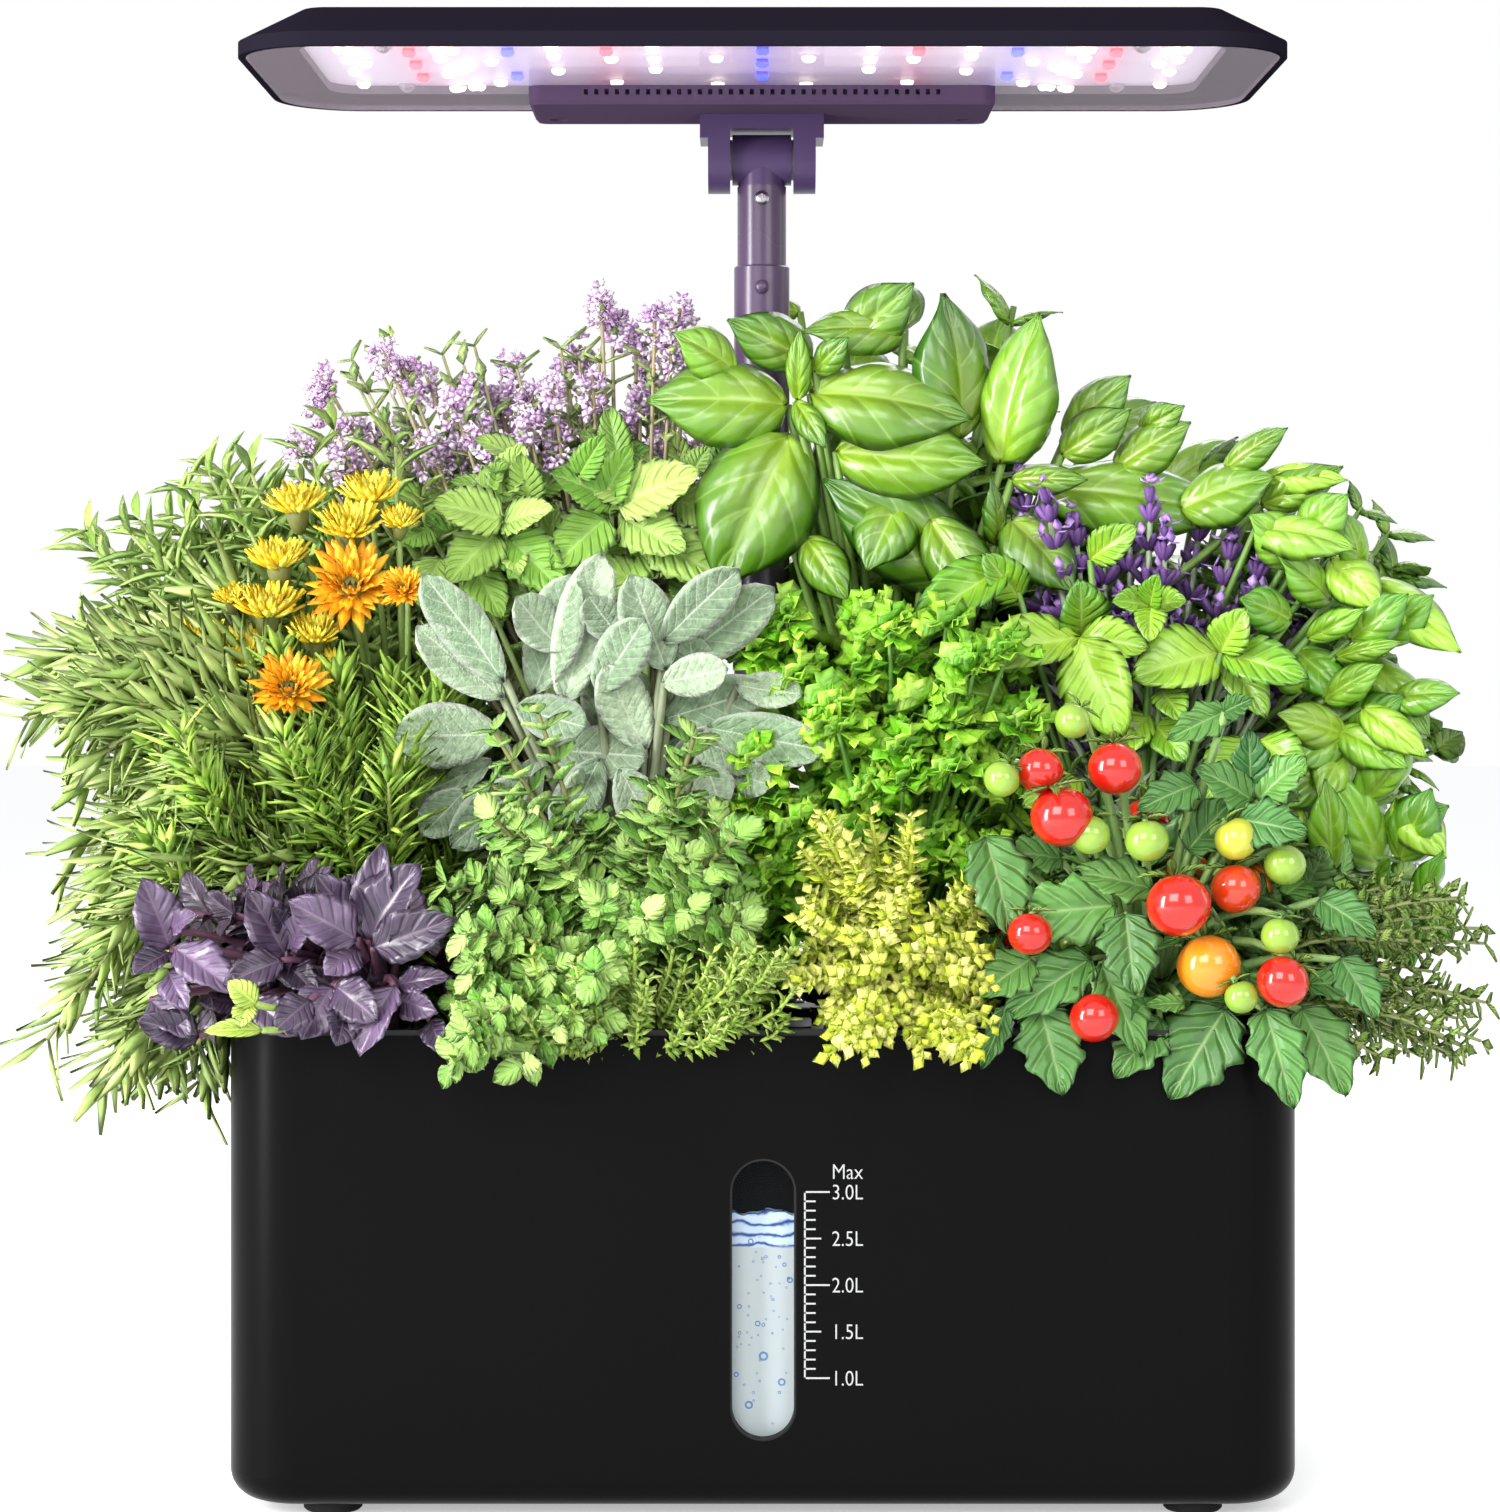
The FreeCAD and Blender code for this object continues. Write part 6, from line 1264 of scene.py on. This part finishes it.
OREGANO_WINDOWS = (
    (48, (470, 740), (820, 970), (-0.085, -0.045)), (10, (620, 750), (730, 850), (-0.075, -0.050)),
    (5, (480, 560), (700, 830), (-0.060, -0.045)), (10, (435, 520), (850, 960), (-0.062, -0.045)),
    (16, (430, 600), (930, 1030), (-0.098, -0.080)), (8, (450, 540), (1020, 1065), (-0.100, -0.092)))
LOW_WINDOW = (70, (520, 800), (945, 1025), (-0.096, -0.070))
draw = np.random.default_rng(113)
root = pod_root("oregano")
tips = tips_in(draw, OREGANO_WINDOWS, (20, (-38, -40, 158), (38, 24, 38), 0.5, -0.4))
shoots = arched(root, tips, 0.03, 0.012)
parts = [leafed(leaf_form(5, 2, oval_shape, 0.02), shoots, np.linspace(0.35, 1.0, 11), 1.05,
                (11.5, 0.7, 1.15, 1.1, 0.35), 0.72, (0, -0.25, 0.5),
                ((0.17, 0.44, 0.045), (0.50, 0.76, 0.18), 0.14), draw, 0, 0.4),
         stem_tubes(shoots, 0.0010, 0.0007, (0.20, 0.20, 0.07))]
low_tips = tips_in(draw, (LOW_WINDOW,))
low = arched(root, low_tips, 0.004, -0.006)
low[:, 2] = 0.4 * low[:, 2] + 0.6 * (low_tips - mm(0, 0, 16))
parts.append(leafed(small_leaf, low, np.linspace(0.45, 1.0, 14), 0.9, mm(4.6), mm(1.9), (0, -0.2, 0.3),
                    ((0.40, 0.68, 0.06), (0.74, 0.92, 0.26), 0.1), draw, 0, 0.3))
parts.append(stem_tubes(low, 0.0009, 0.0005, (0.42, 0.58, 0.10)))
oregano_skin = leaf_finish("oregano_leaf", 0.45, vein=0.34, side_veins=4.0, lean=1.6, quilt=0.5, sheen=0.08,
                           rim=0.9)
oregano = grown("oregano_plant", parts, [oregano_skin, bark], "oregano")
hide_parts("oregano")

# Golden oregano: a dense cushion of tiny yellow-green leaves that covers the pod and hangs over
# the tank's front rim.
GOLDEN_WINDOWS = (
    (80, (790, 1000), (880, 1035), (-0.092, -0.055)), (26, (800, 920), (815, 900), (-0.075, -0.050)),
    (16, (830, 980), (1030, 1062), (-0.100, -0.090)))
draw = np.random.default_rng(127)
root = pod_root("golden_oregano")
tips = tips_in(draw, GOLDEN_WINDOWS, (24, (40, -42, 150), (34, 26, 28), 0.5, -0.4))
shoots = arched(root, tips, 0.02, 0.010)
parts = [leafed(small_leaf, shoots, np.linspace(0.40, 1.0, 14), 1.05, (5.6, 0.7, 1.2, 1.1, 0.3), 0.72,
                (0, -0.25, 0.6), ((0.66, 0.80, 0.03), (1.0, 1.0, 0.28), 0.08), draw, 0, 0.0),
         stem_tubes(shoots, 0.0010, 0.0006, (0.46, 0.56, 0.06))]
golden_skin = leaf_finish("golden_leaf", 0.5, vein=0.2, side_veins=3.0, lean=1.4, quilt=0.3, sheen=0.06)
golden = grown("golden_oregano_plant", parts, [golden_skin, fresh_stem], "golden_oregano")
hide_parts("golden_oregano")


# Cherry tomato: trusses of glossy fruit from green through orange to red, each with a star of
# thin sepals, among lobed leaves that hang over the rim at the front right corner. An airy thyme
# grows out past the tank's end from the same pod.
def lobed(u, v):
    """A pointed leaf cut into rounded lobes towards its base, puffed between its veins."""
    lobe = 1 + 0.20 * np.abs(v) ** 2 * np.sin(21 * u + 0.4) * (1 - 0.5 * u)
    half = 0.5 * oval(u, 0.36, 0.66, 0.05) * lobe
    bulge = 0.035 * np.abs(np.sin(np.pi * (5 * u - 1.6 * np.abs(v)))) * (1 - v ** 2)
    return u, v * half, bulge + 0.08 * np.abs(v) - 0.26 * u ** 2 + 0.10 * u


def fruit_finish(name):
    """Tomato skin: the fruit's own colour, a little uneven, under a smooth waxy gloss."""
    made, tree = empty_finish(name)
    finished(tree, {"Base Color": own_colour(tree, object_noise(tree, 90.0), 0.88, 1.12), "Roughness": 0.16,
                    "Coat Weight": 0.5, "Coat Roughness": 0.08})
    return made


FRUIT = (   # column, row, radius, and ripeness from 0, green, to 1, red
    (1040, 772, 23, 1.0), (1115, 770, 27, 1.0), (1062, 818, 31, 1.0), (1179, 907, 32, 1.0),
    (1236, 890, 25, 0.95), (1282, 983, 26, 1.0), (1095, 1019, 25, 1.0), (1030, 935, 22, 1.0),
    (1209, 968, 32, 0.62), (1237, 840, 22, 0.25), (1001, 780, 18, 0.0), (1090, 836, 20, 0.0),
    (1147, 842, 22, 0.0), (1285, 866, 21, 0.0), (1280, 937, 19, 0.0), (1242, 998, 17, 0.0),
    (1072, 722, 18, 0.0))
FRUIT_SCALE = 0.272
SQUASH = 0.94
DIMPLE = 0.06
RIPENING = np.array(((0.28, 0.46, 0.05), (0.62, 0.60, 0.05), (0.90, 0.24, 0.010), (0.62, 0.012, 0.006)))
RIPE_AT = (0, 0.3, 0.65, 1.0)
SEPALS = 5
VINE = (0.28, 0.46, 0.14)
fruit_turn = np.linspace(0.10, np.pi - 0.10, 14)
fruit_along = 0.5 * SQUASH * (1 - np.cos(fruit_turn)) + DIMPLE * np.exp(-(fruit_turn / 0.35) ** 2)
fruit = turned_form(fruit_along, 0.5 * np.sin(fruit_turn), 18)
fruit_at = np.array(FRUIT, float)
draw = np.random.default_rng(139)
root = pod_root("cherry_tomato")
middle = seen(fruit_at[:, 0], fruit_at[:, 1], draw.uniform(-0.088, -0.076, len(fruit_at)))
hidden = spread(draw, 9, (112, -40, 160), (48, 24, 36), 0.5, -0.4)
middle = np.concatenate([middle, hidden])
ripe = np.concatenate([fruit_at[:, 3], draw.choice((0.0, 0.3, 0.7, 1.0), len(hidden))])
round_size = np.concatenate([fruit_at[:, 2] * 2 * FRUIT_SCALE / 1000,
                             draw.uniform(0.011, 0.015, len(hidden))])
down = unit(np.stack([draw.normal(0, 0.35, len(middle)), draw.normal(-0.45, 0.25, len(middle)),
                      -np.ones(len(middle))], -1))
crown = middle - 0.5 * round_size[:, None] * down
steady = np.broadcast_to((0.2, 1.0, 0.1), down.shape)
fruit_tone = np.stack([np.interp(ripe, RIPE_AT, RIPENING[:, k]) for k in range(3)], -1)
parts = [repeated(fruit, crown, down, steady, round_size, round_size, fruit_tone, 2)]
out = spokes(down, (0.3, 0.9, 0.2), np.arange(SEPALS) * 2 * np.pi / SEPALS)
parts.append(repeated(lance_leaf, np.repeat(crown - 0.02 * round_size[:, None] * down, SEPALS, 0),
                      (out - 0.15 * down[:, None]).reshape(-1, 3), -np.repeat(down, SEPALS, 0),
                      np.repeat(round_size, SEPALS) * 0.62, np.repeat(round_size, SEPALS) * 0.16,
                      shades(draw, SEPALS * len(crown), (0.18, 0.36, 0.05), (0.30, 0.48, 0.10)), 0))
parts.append(stem_tubes(arched(root, crown, 0.03, 0.02), 0.0018, 0.0010, VINE))
VINE_LEAVES = (
    (985, 838, 1012, 925, 60), (1115, 905, 1016, 915, 60), (1150, 890, 1083, 870, 44),
    (1125, 915, 1135, 985, 55), (1090, 960, 1012, 1010, 50), (1040, 1010, 1062, 1085, 62),
    (1100, 965, 1140, 1045, 50), (1225, 1010, 1175, 1088, 72), (1265, 1010, 1292, 1098, 50),
    (1300, 1010, 1345, 1085, 58), (1308, 985, 1383, 982, 32), (1225, 712, 1175, 735, 34),
    (1225, 712, 1248, 700, 24), (1195, 785, 1145, 805, 40), (1250, 800, 1205, 770, 44),
    (1260, 800, 1298, 760, 44), (1250, 790, 1250, 738, 40), (1005, 1010, 985, 1062, 24),
    (1182, 1004, 1152, 1004, 18), (1240, 820, 1300, 830, 44), (1340, 960, 1375, 1010, 44),
    (1060, 860, 1010, 850, 40), (1190, 850, 1230, 800, 44), (1320, 900, 1370, 930, 44),
    (1160, 1020, 1120, 1070, 48), (1030, 960, 985, 990, 44))
parts += viewed(leaf_form(18, 8, lobed, 0.015), placed(VINE_LEAVES, -0.074, 0.008, draw),
                ((0.035, 0.14, 0.030), (0.15, 0.36, 0.07), 0.12), (0.02, 0.012, 0.0017, 0.0010, VINE),
                root, draw)
fill_stems = arched(root, spread(draw, 40, (116, -42, 152), (62, 34, 46), 0.5, -0.6), 0.02, 0.012)
parts.append(leafed(leaf_form(12, 4, lobed, 0.015), fill_stems, (0.6, 0.8, 0.97), 1.0,
                    (25, 0.6, 1.15, 1.1, 0.4), 0.62, (0, -0.1, 0.8),
                    ((0.030, 0.12, 0.022), (0.13, 0.32, 0.05), 0.12), draw))
parts.append(stem_tubes(fill_stems, 0.0016, 0.0009, VINE))
AIRY_WINDOW = (50, (1345, 1490), (870, 1065), (-0.070, 0.0))
airy = arched(root, tips_in(draw, (AIRY_WINDOW,)), 0.012, 0.016)
parts.append(leafed(small_leaf, airy, np.linspace(0.5, 1.0, 12), 1.0, mm(6.5), mm(3.4), (0, -0.2, 0.5),
                    ((0.28, 0.50, 0.06), (0.56, 0.76, 0.18), 0.1), draw, 0, 0.3))
parts.append(stem_tubes(airy, 0.0010, 0.0005, (0.30, 0.36, 0.12)))
tomato_skin = leaf_finish("tomato_leaf", 0.40, vein=0.28, side_veins=5.0, lean=1.6, quilt=0.8, mottle=0.18)
tomato = grown("cherry_tomato_plant", parts, [tomato_skin, fresh_stem, fruit_finish("tomato_skin")], "cherry_tomato")
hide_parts("cherry_tomato")
